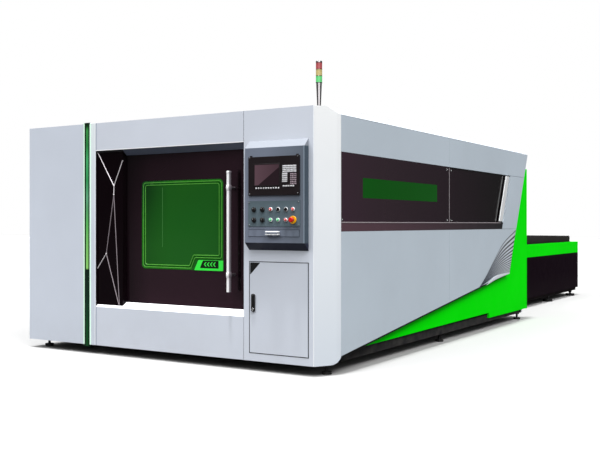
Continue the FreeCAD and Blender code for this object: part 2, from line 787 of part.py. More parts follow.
def side_green_window():
    return side_window_hole(0, X1 - GLASS_BACK - GLASS_T, X1 - GLASS_BACK)


def side_rail_trim():
    """The rail under the window band, with a groove that the side door runs in."""
    rail = band_space(BAND_Z0 + 1, TRIM_Z, CORNER_D + 1, SIDE_DOOR_HIGH, X1 - GLASS_BACK, FOLD - GLASS_BACK)
    return rail.cut(box(SIDE_GROOVE_X0, SIDE_GROOVE_X1, 0, COVER_D, TRIM_Z - SIDE_GROOVE, TRIM_Z + 1))


def front_door_channel(x0, x1):
    """A channel under the top tube, slotted along its floor for the door's hangers."""
    half, wall, top = TRACK_W / 2, TRACK_WALL, FRAME_LOW
    floor = top - TRACK_H
    channel = box(x0, x1, DOOR_MIDDLE - half, DOOR_MIDDLE + half, floor, top)
    inner, slot = half - wall, TRACK_SLOT / 2
    room = box(x0 - 1, x1 + 1, DOOR_MIDDLE - inner, DOOR_MIDDLE + inner, floor + wall, top - wall)
    return channel.cut(room).cut(
        box(x0 - 1, x1 + 1, DOOR_MIDDLE - slot, DOOR_MIDDLE + slot, floor - 1, floor + wall + 1)
    )


def door_tracks():
    """The front door's top channel and lower guide strip, and the side door's upper guide."""
    x0, x1 = FRAME_X0 + TUBE + 8, DOOR_RIGHT + 4
    half = DOOR_GUIDE / 2
    strip = box(x0, x1, DOOR_MIDDLE - half, DOOR_MIDDLE + half, TUBE, DOOR_Z0 + GUIDE_IN)
    y1 = band_end(BAND_Z1) - SIDE_BAR_IN / 2
    x, z = SIDE_GROOVE_X0, BAND_Z1
    guide = box(x - SIDE_GUIDE_T, x, CORNER_D + 10, y1, z - SIDE_GUIDE_H, z)
    return group([front_door_channel(x0, x1), strip, guide])


# ---- front door ----


def window_shape(grow, y0, y1):
    """The front window's outline with rounded corners, as a flat block."""
    w, h = WINDOW_W / 2 + grow, WINDOW_H / 2 + grow
    x = X_BAY1 - WINDOW_IN
    block = box(x - w, x + w, y0, y1, WINDOW_Z - h, WINDOW_Z + h)
    edges = [e for e in block.Edges if abs(e.Length - (y1 - y0)) < 0.01]
    return block.makeFillet(WINDOW_R + grow, edges)


def door_hanger(x):
    """A plate from the leaf's top up into the channel, with a roller on each side of it."""
    z = FRAME_LOW - TRACK_H + TRACK_WALL + ROLLER_R + ROLLER_LIFT
    half = HANGER_T / 2
    plate = box(x - HANGER_W / 2, x + HANGER_W / 2, DOOR_MIDDLE - half, DOOR_MIDDLE + half, DOOR_Z1, z + 3)
    near, far = half + ROLLER_GAP, half + ROLLER_GAP + ROLLER_W
    y = DOOR_MIDDLE
    ends = ((y - far, y - near), (y + near, y + far))
    return [plate] + [rod(ROLLER_R, (x, a, z), (x, b, z)) for a, b in ends]


def front_door_leaf():
    """A folded door leaf with a window opening, a guide groove and two hangers with rollers."""
    leaf = front_tray(DOOR_LEFT, DOOR_RIGHT, DOOR_Z0, DOOR_Z1, DOOR_Y, DOOR_T)
    leaf = leaf.cut(window_shape(FIT, DOOR_Y - 1, DOOR_Y + DOOR_SKIN + 1))
    y0, y1 = DOOR_MIDDLE - DOOR_GUIDE / 2 - GUIDE_GAP, DOOR_MIDDLE + DOOR_GUIDE / 2 + GUIDE_GAP
    leaf = leaf.cut(box(DOOR_LEFT - 1, DOOR_RIGHT + 1, y0, y1, DOOR_Z0 - 1, DOOR_Z0 + DOOR_GROOVE))
    return group([leaf] + door_hanger(DOOR_LEFT + HANGER_IN) + door_hanger(DOOR_RIGHT - HANGER_IN))


def front_door_window():
    return window_shape(0, DOOR_Y, DOOR_Y + WINDOW_T)


def front_door_handle():
    """A long round bar on two stand-offs."""
    x, z0, z1 = X_BAY1 - BAR_IN, BAR_Z0, BAR_Z0 + BAR_L
    bar = rod(BAR_R, (x, BAR_Y, z0), (x, BAR_Y, z1))
    for z in (z0 + STANDOFF_IN, z1 - STANDOFF_IN):
        bar = bar.fuse(rod(STANDOFF_R, (x, BAR_Y, z), (x, DOOR_Y, z)))
    return bar


# ---- side door ----


def side_door_leaf():
    """The sliding rear leaf of the window band. Its rear edge slants."""
    z0, z1 = TRIM_Z - SIDE_DOOR_LOW, BAND_Z1 - SIDE_DOOR_HIGH
    return band_space(z0, z1, SEAM_Y + JOIN / 2, BAND_GAP, SIDE_DOOR_X, SIDE_DOOR_T)


def side_door_handle():
    """A flat slanted bar held off the leaf by two posts."""
    z0, z1 = TRIM_Z + SIDE_BAR_LOW, BAND_Z1 - SIDE_BAR_HIGH
    y0, y1 = band_end(z0) - SIDE_BAR_IN, band_end(z1) - SIDE_BAR_IN
    x = X1 + SIDE_BAR_OUT - SIDE_BAR_T
    half = SIDE_BAR_W / 2
    points = [V(x, y0 - half, z0), V(x, y0 + half, z0), V(x, y1 + half, z1), V(x, y1 - half, z1)]
    bar = prism(points, V(SIDE_BAR_T, 0, 0))
    for t in (0.12, 0.88):
        y, z = y0 + (y1 - y0) * t, z0 + (z1 - z0) * t
        bar = bar.fuse(rod(SIDE_POST_R, (SIDE_DOOR_X, y, z), (x + 1, y, z)))
    return bar


# ---- console ----


def console_housing():
    """The console's shell: a bevelled box in front of the panel and a narrower one behind it."""
    z0, z1, b = CONSOLE_Z0, CONSOLE_Z1, CONSOLE_BEVEL
    section = [(0, z0), (FACE_Y, z0 + b), (FACE_Y, z1 - b), (0, z1)]
    face = outline([V(CONSOLE_X0, y, z) for y, z in section])
    front = face.extrude(V(CONSOLE_X1 - CONSOLE_X0, 0, 0))
    core = face.makeOffset2D(-SHEET, 2).extrude(V(CONSOLE_X1 - CONSOLE_X0 - 2 * SHEET, 0, 0))
    core.translate(V(SHEET, 0, 0))
    bx0, bx1, bz0, bz1 = CONSOLE_BOX_X0, CONSOLE_BOX_X1, z0 + CONSOLE_BOX_IN, z1 - CONSOLE_BOX_IN
    rear = box(bx0, bx1, 0, CONSOLE_BOX_D, bz0, bz1)
    rear_core = box(bx0 + SHEET, bx1 - SHEET, -SHEET - 1, CONSOLE_BOX_D - SHEET, bz0 + SHEET, bz1 - SHEET)
    shell = front.fuse(rear).cut(core).cut(rear_core)
    mx0, mx1, mz0, mz1 = DRAWER_X0, DRAWER_X1, DRAWER_Z0, DRAWER_Z1
    gap, depth = DRAWER_GAP, SHEET + 1
    mouth = box(mx0 - gap, mx1 + gap, FACE_Y - 1, FACE_Y + depth, mz0 - gap, mz1 + gap)
    shell = shell.cut(mouth)
    for x, z, _ in controls():
        shell = shell.cut(rod(STEM_R + 3, (x, FACE_Y - 1, z), (x, FACE_Y + SHEET + 1, z)))
    runners = []
    for wall, inner in ((bx0 + SHEET, DRAWER_X0 + DRAWER_SIDE), (bx1 - SHEET, DRAWER_X1 - DRAWER_SIDE)):
        edge = inner + math.copysign(DRAWER_RUNNER_GAP, wall - inner)
        z = (DRAWER_Z0 + DRAWER_Z1 - DRAWER_RUNNER_H) / 2
        runners.append(box(min(wall, edge), max(wall, edge), 0, CONSOLE_BOX_D - 20, z, z + DRAWER_RUNNER_H))
    return group([shell] + runners)


def controls():
    """Each control's x, z and kind, in two rows."""
    high, low = PLATE_Z + ROW_HIGH, PLATE_Z + ROW_LOW
    places = [(PLATE_X + x, z, "knob") for x in KNOBS_IN for z in (high, low)]
    kinds_high = ("button", "selector", "selector", "button")
    kinds_low = ("button", "button", "button", "stop")
    places += [(PLATE_X + x, high, k) for x, k in zip(BUTTONS_IN, kinds_high)]
    return places + [(PLATE_X + x, low, k) for x, k in zip(BUTTONS_IN, kinds_low)]


def of_kind(kind):
    return [(x, z) for x, z, k in controls() if k == kind]


def screen_unit():
    """The flat control unit with two small ears at its top corners."""
    x0, z0 = SCREEN_UNIT_X, SCREEN_UNIT_Z
    x1, z1 = x0 + SCREEN_UNIT_W, z0 + SCREEN_UNIT_H
    unit = box(x0, x1, FACE_Y - SCREEN_UNIT_T, FACE_Y, z0, z1)
    front_edges = [e for e in unit.Edges if abs(e.CenterOfMass.y - (FACE_Y - SCREEN_UNIT_T)) < 0.1]
    unit = unit.makeChamfer(2.0, front_edges)
    for x in (x0 + EAR_IN, x1 - EAR_IN - EAR_W):
        unit = unit.fuse(box(x, x + EAR_W, FACE_Y - SCREEN_UNIT_T / 2, FACE_Y, z1 - 1, z1 + EAR_H))
    return unit


def screen_glass():
    x, z, y = SCREEN_UNIT_X + SCREEN_IN, SCREEN_UNIT_Z + SCREEN_UP, FACE_Y - SCREEN_UNIT_T
    return box(x, x + SCREEN_W, y - SCREEN_T, y, z, z + SCREEN_H)


def button_ring(x, z):
    outer, inner = CAP_R + RING_GAP + RING_WALL, CAP_R + RING_GAP
    ring = rod(outer, (x, PLATE_Y - RING_T, z), (x, PLATE_Y, z))
    return ring.cut(rod(inner, (x, PLATE_Y - RING_T - 1, z), (x, PLATE_Y - 1, z)))


def button_plate():
    """The plate that carries the controls, with a ring round each button and four screws."""
    x0, x1, z0, z1 = PLATE_X, PLATE_X + PLATE_W, PLATE_Z, PLATE_Z + PLATE_H
    plate = box(x0, x1, PLATE_Y, FACE_Y, z0, z1)
    for x, z, kind in controls():
        if kind == "button":
            plate = plate.fuse(button_ring(x, z))
        if kind == "stop":
            plate = plate.fuse(rod(STOP_RING_R, (x, PLATE_Y - STOP_RING_T, z), (x, PLATE_Y, z)))
        deep = STOP_RING_T + RING_T
        plate = plate.cut(rod(STEM_R + STEM_FIT, (x, PLATE_Y - deep, z), (x, FACE_Y + 1, z)))
    for x in (x0 + PLATE_SCREW_IN, x1 - PLATE_SCREW_IN):
        for z in (z0 + PLATE_SCREW_IN, z1 - PLATE_SCREW_IN):
            plate = plate.fuse(rod(PLATE_SCREW_R, (x, PLATE_Y - 2, z), (x, PLATE_Y, z)))
    return plate


def stem(x, z, y_front):
    return rod(STEM_R, (x, y_front, z), (x, FACE_Y + STEM_IN, z))


def grip(x, z, width, length, y0, y1):
    return box(x - width / 2, x + width / 2, y0, y1, z - length / 2, z + length / 2)


def knob(x, z):
    """A round override knob with a raised grip across it."""
    y = PLATE_Y - CONTROL_GAP
    front = y - KNOB_T
    body = rod(KNOB_R, (x, front + 8, z), (x, y, z)).fuse(stem(x, z, y))
    return body.fuse(grip(x, z, KNOB_GRIP, 2 * KNOB_R - 4, front, front + 9))


def selector(x, z):
    """A selector switch: a collar with a short lever across it."""
    y = PLATE_Y - CONTROL_GAP
    body = rod(SELECTOR_R, (x, y - SELECTOR_T, z), (x, y, z)).fuse(stem(x, z, y))
    return body.fuse(grip(x, z, SELECTOR_GRIP, 2 * SELECTOR_R - 2, y - SELECTOR_OUT, y - SELECTOR_T + 1))


def push_button(x, z):
    y = PLATE_Y - CONTROL_GAP - PRESS
    return rod(CAP_R, (x, y - CAP_T, z), (x, y, z)).fuse(stem(x, z, y))


def emergency_stop():
    """A mushroom head on a neck."""
    x, z = of_kind("stop")[0]
    y = FRONT_MOST
    head = rod(STOP_R, (x, y, z), (x, y + STOP_T, z))
    rim = [e for e in head.Edges if abs(e.CenterOfMass.y - y) < 0.1 and e.Closed]
    head = head.makeFillet(STOP_ROUND, rim[:1])
    neck = rod(CAP_R, (x, y + STOP_T, z), (x, STOP_NECK_Y, z))
    return head.fuse(neck).fuse(stem(x, z, STOP_NECK_Y))


def keyboard_drawer():
    """A shallow open drawer with a front plate and a bar handle."""
    x0, x1, z0, z1, t = DRAWER_X0, DRAWER_X1, DRAWER_Z0, DRAWER_Z1, DRAWER_SHEET
    y0, y1 = FACE_Y + 1, FACE_Y + DRAWER_D
    front = box(x0, x1, FACE_Y - DRAWER_FRONT_T, y0, z0, z1)
    bx0, bx1 = x0 + DRAWER_SIDE, x1 - DRAWER_SIDE
    body = box(bx0, bx1, y0, y1, z0 + 2 * t, z1 - 4 * t)
    body = body.cut(box(bx0 + t, bx1 - t, y0, y1 - t, z0 + 3 * t, z1))
    return front.fuse(body).fuse(drawer_bar((x0 + x1) / 2, (z0 + z1) / 2))


def drawer_bar(x, z):
    half, y = DRAWER_BAR_W / 2, FACE_Y - DRAWER_BAR_OUT
    bar = rod(DRAWER_BAR_R, (x - half, y, z), (x + half, y, z))
    inner = half - 2 * DRAWER_BAR_R
    for leg in (x - inner, x + inner):
        bar = bar.fuse(rod(DRAWER_BAR_R, (leg, y, z), (leg, FACE_Y - DRAWER_FRONT_T + 1, z)))
    return bar


# ---- cabinet ----


def cabinet_door():
    """A folded door that turns on two upright pins near its right edge."""
    g = CABINET_GAP
    z_low, z_high = CABINET_Z0 + JOIN, CABINET_Z1 - JOIN
    door = front_tray(CABINET_X0 + JOIN, CABINET_X1 - g, z_low, z_high, 0, CABINET_DOOR_T)
    reach, r = CABINET_GAP + HINGE_PIN_L + 1, HINGE_R + HINGE_WALL
    for z0, z1 in ((z_low, CABINET_Z0 + reach), (CABINET_Z1 - reach, z_high)):
        boss = box(HINGE_X - r, CABINET_X1 - g, 0, HINGE_Y + r, z0, z1)
        bore = rod(HINGE_R + HINGE_FIT, (HINGE_X, HINGE_Y, z0 - 5), (HINGE_X, HINGE_Y, z1 + 5))
        door = door.fuse(boss).cut(bore)
    return door


def lever_axis(half):
    return (LEVER_X - half, LEVER_Y, LEVER_Z), (LEVER_X + half, LEVER_Y, LEVER_Z)


def cabinet_lock():
    """The lock's dish on the cabinet door, with a cross pin at its top for the lever."""
    dish = box(LOCK_X, LOCK_X + LOCK_W, -LOCK_OUT, 0, LOCK_Z0, LOCK_Z0 + LOCK_H)
    corners = [e for e in dish.Edges if abs(e.Vertexes[0].Y - e.Vertexes[-1].Y) > LOCK_OUT / 2]
    dish = dish.makeFillet(LOCK_ROUND, corners)
    half, room = (LEVER_W + LEVER_ROOM) / 2, LEVER_ROOM
    z0, z1 = LEVER_Z - LEVER_L - room, LEVER_Z + LEVER_R + room
    dish = dish.cut(box(LEVER_X - half, LEVER_X + half, -LOCK_OUT - 1, -LOCK_FLOOR, z0, z1))
    return dish.fuse(rod(LEVER_PIN_R, *lever_axis(half + 2)))


def lock_lever():
    """The lever that swings out of the dish."""
    half = LEVER_W / 2
    knuckle = rod(LEVER_R, *lever_axis(half))
    y0, y1 = LEVER_Y - LEVER_R, LEVER_Y + LEVER_R
    arm = box(LEVER_X - half, LEVER_X + half, y0, y1, LEVER_Z - LEVER_L, LEVER_Z)
    return knuckle.fuse(arm).cut(rod(LEVER_PIN_R + HINGE_FIT, *lever_axis(half + 1)))


def electrical_cabinet():
    """The sheet box behind the cabinet door, open to the front."""
    x0, x1, y, z0, z1 = CABINET_BOX_X0, CABINET_BOX_X1, CABINET_D, TUBE + 1, CABINET_TOP
    corners = [V(x0, y, z0), V(x1, y, z0), V(x1, y, z1), V(x0, y, z1)]
    return tray(corners, V(0, -1, 0), y - FOLD - 4)


def cabinet_equipment():
    """The mounting plate with the laser source, its supply, the drives and the terminals."""
    x0, x1 = CABINET_BOX_X0 + EQUIPMENT_LEFT, CABINET_BOX_X1 - EQUIPMENT_RIGHT
    y1, floor = CABINET_D - SHEET, TUBE + 1 + SHEET
    parts = [box(x0, x1, y1 - MOUNTING_PLATE_T, y1, floor, CABINET_TOP - 20)]
    x0, x1, y1 = x0 + EQUIPMENT_IN, x1 - EQUIPMENT_IN, y1 - MOUNTING_PLATE_T
    for depth, z0, z1 in (LASER_SOURCE, TERMINALS, SUPPLY):
        parts.append(box(x0, x1, CABINET_D - depth, y1, floor + z0, floor + z1))
    depth, z0, z1 = DRIVES
    pitch = (x1 - x0) / DRIVE_COUNT
    for i in range(DRIVE_COUNT):
        left = x0 + i * pitch
        parts.append(box(left, left + pitch - DRIVE_GAP, CABINET_D - depth, y1, floor + z0, floor + z1))
    return group(parts)


# ---- signal tower ----


def tower_neck():
    """The tapered neck on the roof and the cap on the top lens."""
    x, y, base = TOWER_X, TOWER_Y, COVER_H
    neck = Part.makeCone(TOWER_NECK_R0, TOWER_NECK_R1, TOWER_LENS_Z, V(x, y, base))
    flange = rod(TOWER_FLANGE_R, (x, y, base), (x, y, base + TOWER_FLANGE_T))
    top = base + TOWER_LENS_Z + 3 * TOWER_LENS_H
    cap = rod(TOWER_R, (x, y, top), (x, y, top + TOWER_CAP_H))
    rim = [e for e in cap.Edges if e.Closed and abs(e.CenterOfMass.z - top - TOWER_CAP_H) < 0.1]
    return group([neck.fuse(flange), cap.makeFillet(TOWER_CAP_ROUND, rim)])


def tower_lens(level):
    z0 = COVER_H + TOWER_LENS_Z + level * TOWER_LENS_H
    z1 = z0 + TOWER_LENS_H
    outer = rod(TOWER_R, (TOWER_X, TOWER_Y, z0), (TOWER_X, TOWER_Y, z1))
    return outer.cut(rod(TOWER_R - TOWER_WALL, (TOWER_X, TOWER_Y, z0 - 1), (TOWER_X, TOWER_Y, z1 + 1)))


# ---- gantry ----


def gantry_beam():
    """The beam across the bed, its bearing blocks on the bed rails, two face rails and two motors."""
    over = BED_X + GANTRY_OVER
    y0, y1, z0, z1 = GANTRY_Y, GANTRY_Y + GANTRY_D, GANTRY_Z0, GANTRY_Z0 + GANTRY_H
    parts = [tube(-over, over, y0, y1, z0, z1, "x", GANTRY_WALL)]
    for x in (-BED_X, BED_X):
        parts.append(bearing_block(x, y0 - BLOCK_OVER, y1 + BLOCK_OVER))
        half, y = MOTOR_W / 2, y0 + GANTRY_D / 2
        parts.append(box(x - half, x + half, y - half, y + half, z1, z1 + MOTOR_H))
    for z in face_rails():
        parts.append(box(-BED_X, BED_X, y0 - FACE_RAIL_T, y0, z, z + RAIL_W))
    return group(parts)


def bearing_block(x, y0, y1):
    """A block under the beam's end that straddles its bed rail."""
    half, rail, top = BLOCK_W / 2, RAIL_W / 2 + RAIL_FIT, BED_Z + RAIL_H
    z0 = top - BLOCK_DOWN
    block = box(x - half, x + half, y0, y1, z0, GANTRY_Z0)
    return block.cut(box(x - rail, x + rail, y0 - 1, y1 + 1, z0 - 1, top + RAIL_FIT))


def face_rails():
    return (GANTRY_Z0 + FACE_RAIL_IN, GANTRY_Z0 + GANTRY_H - FACE_RAIL_IN - RAIL_W)


def carriage():
    """The carriage that runs across the beam, grooved for the two face rails."""
    half, z0 = CARRIAGE_W / 2, GANTRY_Z0
    block = box(-half, half, CARRIAGE_Y - CARRIAGE_D, CARRIAGE_Y, z0, z0 + CARRIAGE_H)
    y0 = GANTRY_Y - FACE_RAIL_T - RAIL_FIT
    for z in face_rails():
        groove = box(-half - 1, half + 1, y0, CARRIAGE_Y + 1, z - RAIL_FIT, z + RAIL_W + RAIL_FIT)
        block = block.cut(groove)
    return block


def cutting_head():
    """The slide plate with the cutting head: a round body, a cone and a nozzle tip."""
    y1 = CARRIAGE_Y - CARRIAGE_D - RAIL_FIT
    y0 = y1 - HEAD_D
    z = NOZZLE_Z
    plate = box(-HEAD_W / 2, HEAD_W / 2, y0, y1, z + HEAD_PLATE_UP, z + HEAD_PLATE_UP + HEAD_PLATE_H)
    y, z_cone = y0 - HEAD_R + HEAD_SUNK, z + NOZZLE_H
    z_body = z_cone + HEAD_CONE_H
    body = rod(HEAD_R, (0, y, z_body), (0, y, z_body + HEAD_H))
    cone = Part.makeCone(HEAD_CONE_R, HEAD_R, HEAD_CONE_H, V(0, y, z_cone))
    tip = Part.makeCone(NOZZLE_R, HEAD_CONE_R, NOZZLE_H, V(0, y, z))
    return plate.fuse(body).fuse(cone).fuse(tip)


# ---- pallets and exchange table ----


def pallet_frame(y0, drop):
    """A frame of tubes with wheels outside its long sides."""
    w, t = PALLET_HALF_W, PALLET_TUBE
    z1 = PALLET_TOP - PALLET_FRAME_H - drop
    z0 = z1 - PALLET_FRAME_H
    y1 = y0 + PALLET_L
    parts = [tube(x, x + t, y0, y1, z0, z1, "y") for x in (-w, w - t)]
    for y in (y0, y0 + PALLET_L / 3, y0 + 2 * PALLET_L / 3, y1 - t):
        parts.append(tube(-w + t, w - t, y, y + t, z0 + PALLET_CROSS_UP, z1, "x"))
    reach = w + WHEEL_GAP + WHEEL_W
    z = z0 + WHEEL_R
    for x0, x1 in ((-reach, -w), (w, reach)):
        for i in range(4):
            y = y0 + WHEEL_IN + i * (PALLET_L - 2 * WHEEL_IN) / 3
            parts.append(rod(WHEEL_R, (x0, y, z), (x1, y, z)))
    return group(parts)


def pallet_slats(y0, drop):
    """Upright slats that carry the sheet, set across the frame."""
    z1 = PALLET_TOP - drop
    count = int(PALLET_L // SLAT_PITCH)
    start = y0 + (PALLET_L - (count - 1) * SLAT_PITCH - SLAT_T) / 2
    w = PALLET_HALF_W - SLAT_IN
    ys = [start + i * SLAT_PITCH for i in range(count)]
    return group([box(-w, w, y, y + SLAT_T, z1 - PALLET_FRAME_H, z1) for y in ys])


def leg_ys():
    first = TABLE_Y0 + LEG_IN + TUBE / 2
    last = TABLE_Y1 - LAST_LEG_IN - TUBE / 2
    return [first + i * (last - first) / 3 for i in range(4)]


def table_frame():
    """Legs, long tubes, cross tubes and the four pallet rails of the exchange table."""
    x1, y1, top = TABLE_HALF_W - FOLD, TABLE_Y1 - FOLD, TABLE_RAIL_Z1 - SLIM
    x0 = x1 - SLIM
    half = TUBE / 2
    parts = []
    for a, b in ((-x1, -x0), (x0, x1)):
        for y in leg_ys():
            parts.append(tube(a, b, y - half, y + half, SLIM, top, "z"))
        parts.append(tube(a, b, TABLE_Y0, y1, 0, SLIM, "y"))
        parts.append(tube(a, b, TABLE_Y0, y1, top, TABLE_RAIL_Z1 - FRAME_GAP, "y"))
    for y in leg_ys():
        parts.append(tube(-x0, x0, y - SLIM / 2, y + SLIM / 2, 0, SLIM, "x"))
    return group(parts + pallet_rails(TABLE_Y0, y1 - JOIN, x0))


def table_skin(z0, z1):
    """Two long sides and an end, each a folded panel."""
    w, y0, y1 = TABLE_HALF_W, TABLE_Y0, TABLE_Y1
    sides = [side_tray([(y0, z0), (y1, z0), (y1, z1), (y0, z1)], x, n) for x, n in ((w, -1), (-w, 1))]
    x = w - FOLD
    end = [V(-x, y1, z0), V(x, y1, z0), V(x, y1, z1), V(-x, y1, z1)]
    return group(sides + [tray(end, V(0, -1, 0))])


def table_side_rails():
    return table_skin(TABLE_RAIL_Z0, TABLE_RAIL_Z1)


def table_scrap_tray():
    """The flat sheet that catches scrap, on the cross tubes between the legs."""
    x, y0, y1 = TABLE_HALF_W - FOLD - SLIM - TRAY_GAP, TABLE_Y0 + TRAY_GAP, TABLE_Y1 - FOLD - TRAY_GAP
    return box(-x, x, y0, y1, SLIM, SLIM + SHEET)


def table_side_panels():
    return group([table_skin(TABLE_PANEL_Z0, TABLE_RAIL_Z0 - TABLE_PANEL_GAP), table_scrap_tray()])


# ---- the nodes ----


def all_nodes():
    nodes = {f.__name__: f() for f in (
        frame_tubes, levelling_feet, machine_bed, bed_rails, roof_panels, left_and_rear_walls,
        front_left_panels, light_bar, header_and_sill_panels, pilaster_panel, console_panel, corner_cover,
        right_upper_panels, right_lower_panels, green_skirt, side_fixed_glass, side_green_window,
        side_rail_trim, door_tracks, front_door_leaf, front_door_window, front_door_handle,
        side_door_leaf, side_door_handle, console_housing, screen_unit, screen_glass, button_plate,
        emergency_stop, keyboard_drawer, cabinet_door, cabinet_lock, lock_lever, electrical_cabinet,
        cabinet_equipment, tower_neck, gantry_beam, carriage, cutting_head, table_frame,
        table_side_rails, table_side_panels,
    )}
    for name, level in (("green", 0), ("amber", 1), ("red", 2)):
        nodes[f"tower_lens_{name}"] = tower_lens(level)
    for name, kind, make in (
        ("override_knob", "knob", knob),
        ("selector", "selector", selector),
        ("push_button", "button", push_button),
    ):
        for i, (x, z) in enumerate(of_kind(kind)):
            nodes[f"{name}_{i + 1}"] = make(x, z)
    nodes["upper_pallet_frame"] = pallet_frame(PALLET_Y, 0)
    nodes["upper_pallet_slats"] = pallet_slats(PALLET_Y, 0)
    nodes["lower_pallet_frame"] = pallet_frame(PALLET_PARK_Y, PALLET_STEP)
    nodes["lower_pallet_slats"] = pallet_slats(PALLET_PARK_Y, PALLET_STEP)
    return nodes


def write_parts():
    """Moves each node so that Z = 0 is the floor and X = Y = 0 the middle of the footprint, and saves it."""
    os.makedirs("parts", exist_ok=True)
    middle = (FRONT_MOST + TABLE_Y1) / 2
    for name, shape in all_nodes().items():
        shape = shape.copy()
        shape.translate(V(0, -middle, FLOOR_GAP))
        shape.exportStep(f"parts/{name}.step")


write_parts()
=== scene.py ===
import bpy
import numpy as np
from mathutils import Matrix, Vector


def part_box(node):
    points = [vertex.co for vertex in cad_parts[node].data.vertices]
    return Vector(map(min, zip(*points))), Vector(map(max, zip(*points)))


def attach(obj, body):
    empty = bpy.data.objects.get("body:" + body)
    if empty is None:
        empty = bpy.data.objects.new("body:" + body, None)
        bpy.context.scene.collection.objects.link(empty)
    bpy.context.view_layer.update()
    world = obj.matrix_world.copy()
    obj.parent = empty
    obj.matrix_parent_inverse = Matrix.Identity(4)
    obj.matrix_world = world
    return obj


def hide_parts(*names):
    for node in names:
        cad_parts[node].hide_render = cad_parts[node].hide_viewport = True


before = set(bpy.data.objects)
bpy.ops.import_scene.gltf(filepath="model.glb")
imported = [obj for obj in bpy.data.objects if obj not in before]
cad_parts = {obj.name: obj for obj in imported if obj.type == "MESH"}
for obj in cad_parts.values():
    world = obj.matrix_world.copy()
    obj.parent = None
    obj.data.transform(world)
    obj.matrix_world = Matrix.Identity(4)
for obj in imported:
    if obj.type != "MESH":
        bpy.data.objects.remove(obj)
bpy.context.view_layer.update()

# ---- Base and levelling feet ----
# The cover, the bed and the table stand on steel screws with round pads, each locked by a black hex nut.
# The cover's frame is welded square tube, sprayed dark grey. Dust gathers on whatever is near the floor.


def srgb(red, green, blue):
    """A paint chart colour, 0 to 255, as linear light: the power curve of the display taken off."""
    c = np.array([red, green, blue]) / 255
    return (*np.where(c > 0.04045, ((c + 0.055) / 1.055) ** 2.4, c / 12.92), 1.0)


def step(tree, kind, inputs=None, **settings):
    """A shader node with its settings, and its inputs set to values or joined to other nodes' outputs."""
    made = tree.nodes.new("ShaderNode" + kind)
    for key, value in settings.items():
        setattr(made, key, value)
    for key, value in (inputs or {}).items():
        if isinstance(value, bpy.types.NodeSocket):
            tree.links.new(value, made.inputs[key])
        else:
            made.inputs[key].default_value = value
    return made


def blend_colour(tree, share, first, second):
    """The colour a share of the way from the first to the second."""
    return step(tree, "Mix", {0: share, 6: first, 7: second}, data_type="RGBA").outputs[2]


def ramp(tree, value, start, end, low=0.0, high=1.0):
    """A value that climbs from low to high while the input goes from start to end, level outside them."""
    limits = {"Value": value, "From Min": start, "From Max": end, "To Min": low, "To Max": high}
    return step(tree, "MapRange", limits).outputs[0]


def reckon(tree, how, first, second=0.0):
    """One sum on two values, such as ADD, SUBTRACT or MAXIMUM."""
    return step(tree, "Math", {0: first, 1: second}, operation=how).outputs[0]


def times(tree, product, *factors):
    """All the values multiplied together."""
    for factor in factors:
        product = reckon(tree, "MULTIPLY", product, factor)
    return product


def effect(name, takes, gives, build):
    """A node group that several finishes share. It hands on colours, values and heights only."""
    tree = bpy.data.node_groups.new(name, "ShaderNodeTree")
    for label, kind, value in takes:
        socket = tree.interface.new_socket(label, in_out="INPUT", socket_type="NodeSocket" + kind)
        if value is not None:
            socket.default_value = value
    for label, kind in gives:
        tree.interface.new_socket(label, in_out="OUTPUT", socket_type="NodeSocket" + kind)
    given, out = tree.nodes.new("NodeGroupInput").outputs, tree.nodes.new("NodeGroupOutput")
    for label, socket in build(tree, given).items():
        tree.links.new(socket, out.inputs[label])
    return tree


def build_film(tree, given):
    """Slow tone drift, orange peel, a rub mask that dulls the gloss, and dust that thins out from the
    floor."""
    where = given["Where"]
    cloud = step(tree, "TexNoise", {"Vector": where, "Scale": 1.3, "Detail": 3.0}).outputs[0]
    rub = step(tree, "TexNoise", {"Vector": where, "Scale": 9.0, "Detail": 6.0, "Roughness": 0.65}).outputs[0]
    peel = step(tree, "TexNoise", {"Vector": where, "Scale": given["Peel scale"], "Detail": 1.5}).outputs[0]
    tone = ramp(tree, cloud, 0.3, 0.7, 0.965, 1.03)
    toned = step(tree, "HueSaturation", {"Color": given["Colour"], "Value": tone}).outputs[0]
    height = step(tree, "SeparateXYZ", {0: where}).outputs[2]
    near_floor = ramp(tree, height, 0.0, 0.42, 1.0, 0.0)
    dust = times(tree, near_floor, ramp(tree, rub, 0.35, 0.75), given["Dust"])
    dusty = blend_colour(tree, dust, toned, srgb(150, 145, 136))
    dulled = reckon(tree, "ADD", ramp(tree, rub, 0.4, 0.8, 0.0, 0.10), times(tree, dust, 0.35))
    return {
        "Colour": dusty,
        "Roughness": reckon(tree, "ADD", given["Roughness"], dulled),
        "Height": times(tree, peel, given["Peel"]),
    }


paint_film = effect(
    "paint film",
    [
        ("Where", "Vector", None),
        ("Colour", "Color", (0.8, 0.8, 0.8, 1.0)),
        ("Roughness", "Float", 0.35),
        ("Peel", "Float", 1.0),
        ("Peel scale", "Float", 260.0),
        ("Dust", "Float", 0.3),
    ],
    [("Colour", "Color"), ("Roughness", "Float"), ("Height", "Float")],
    build_film,
)


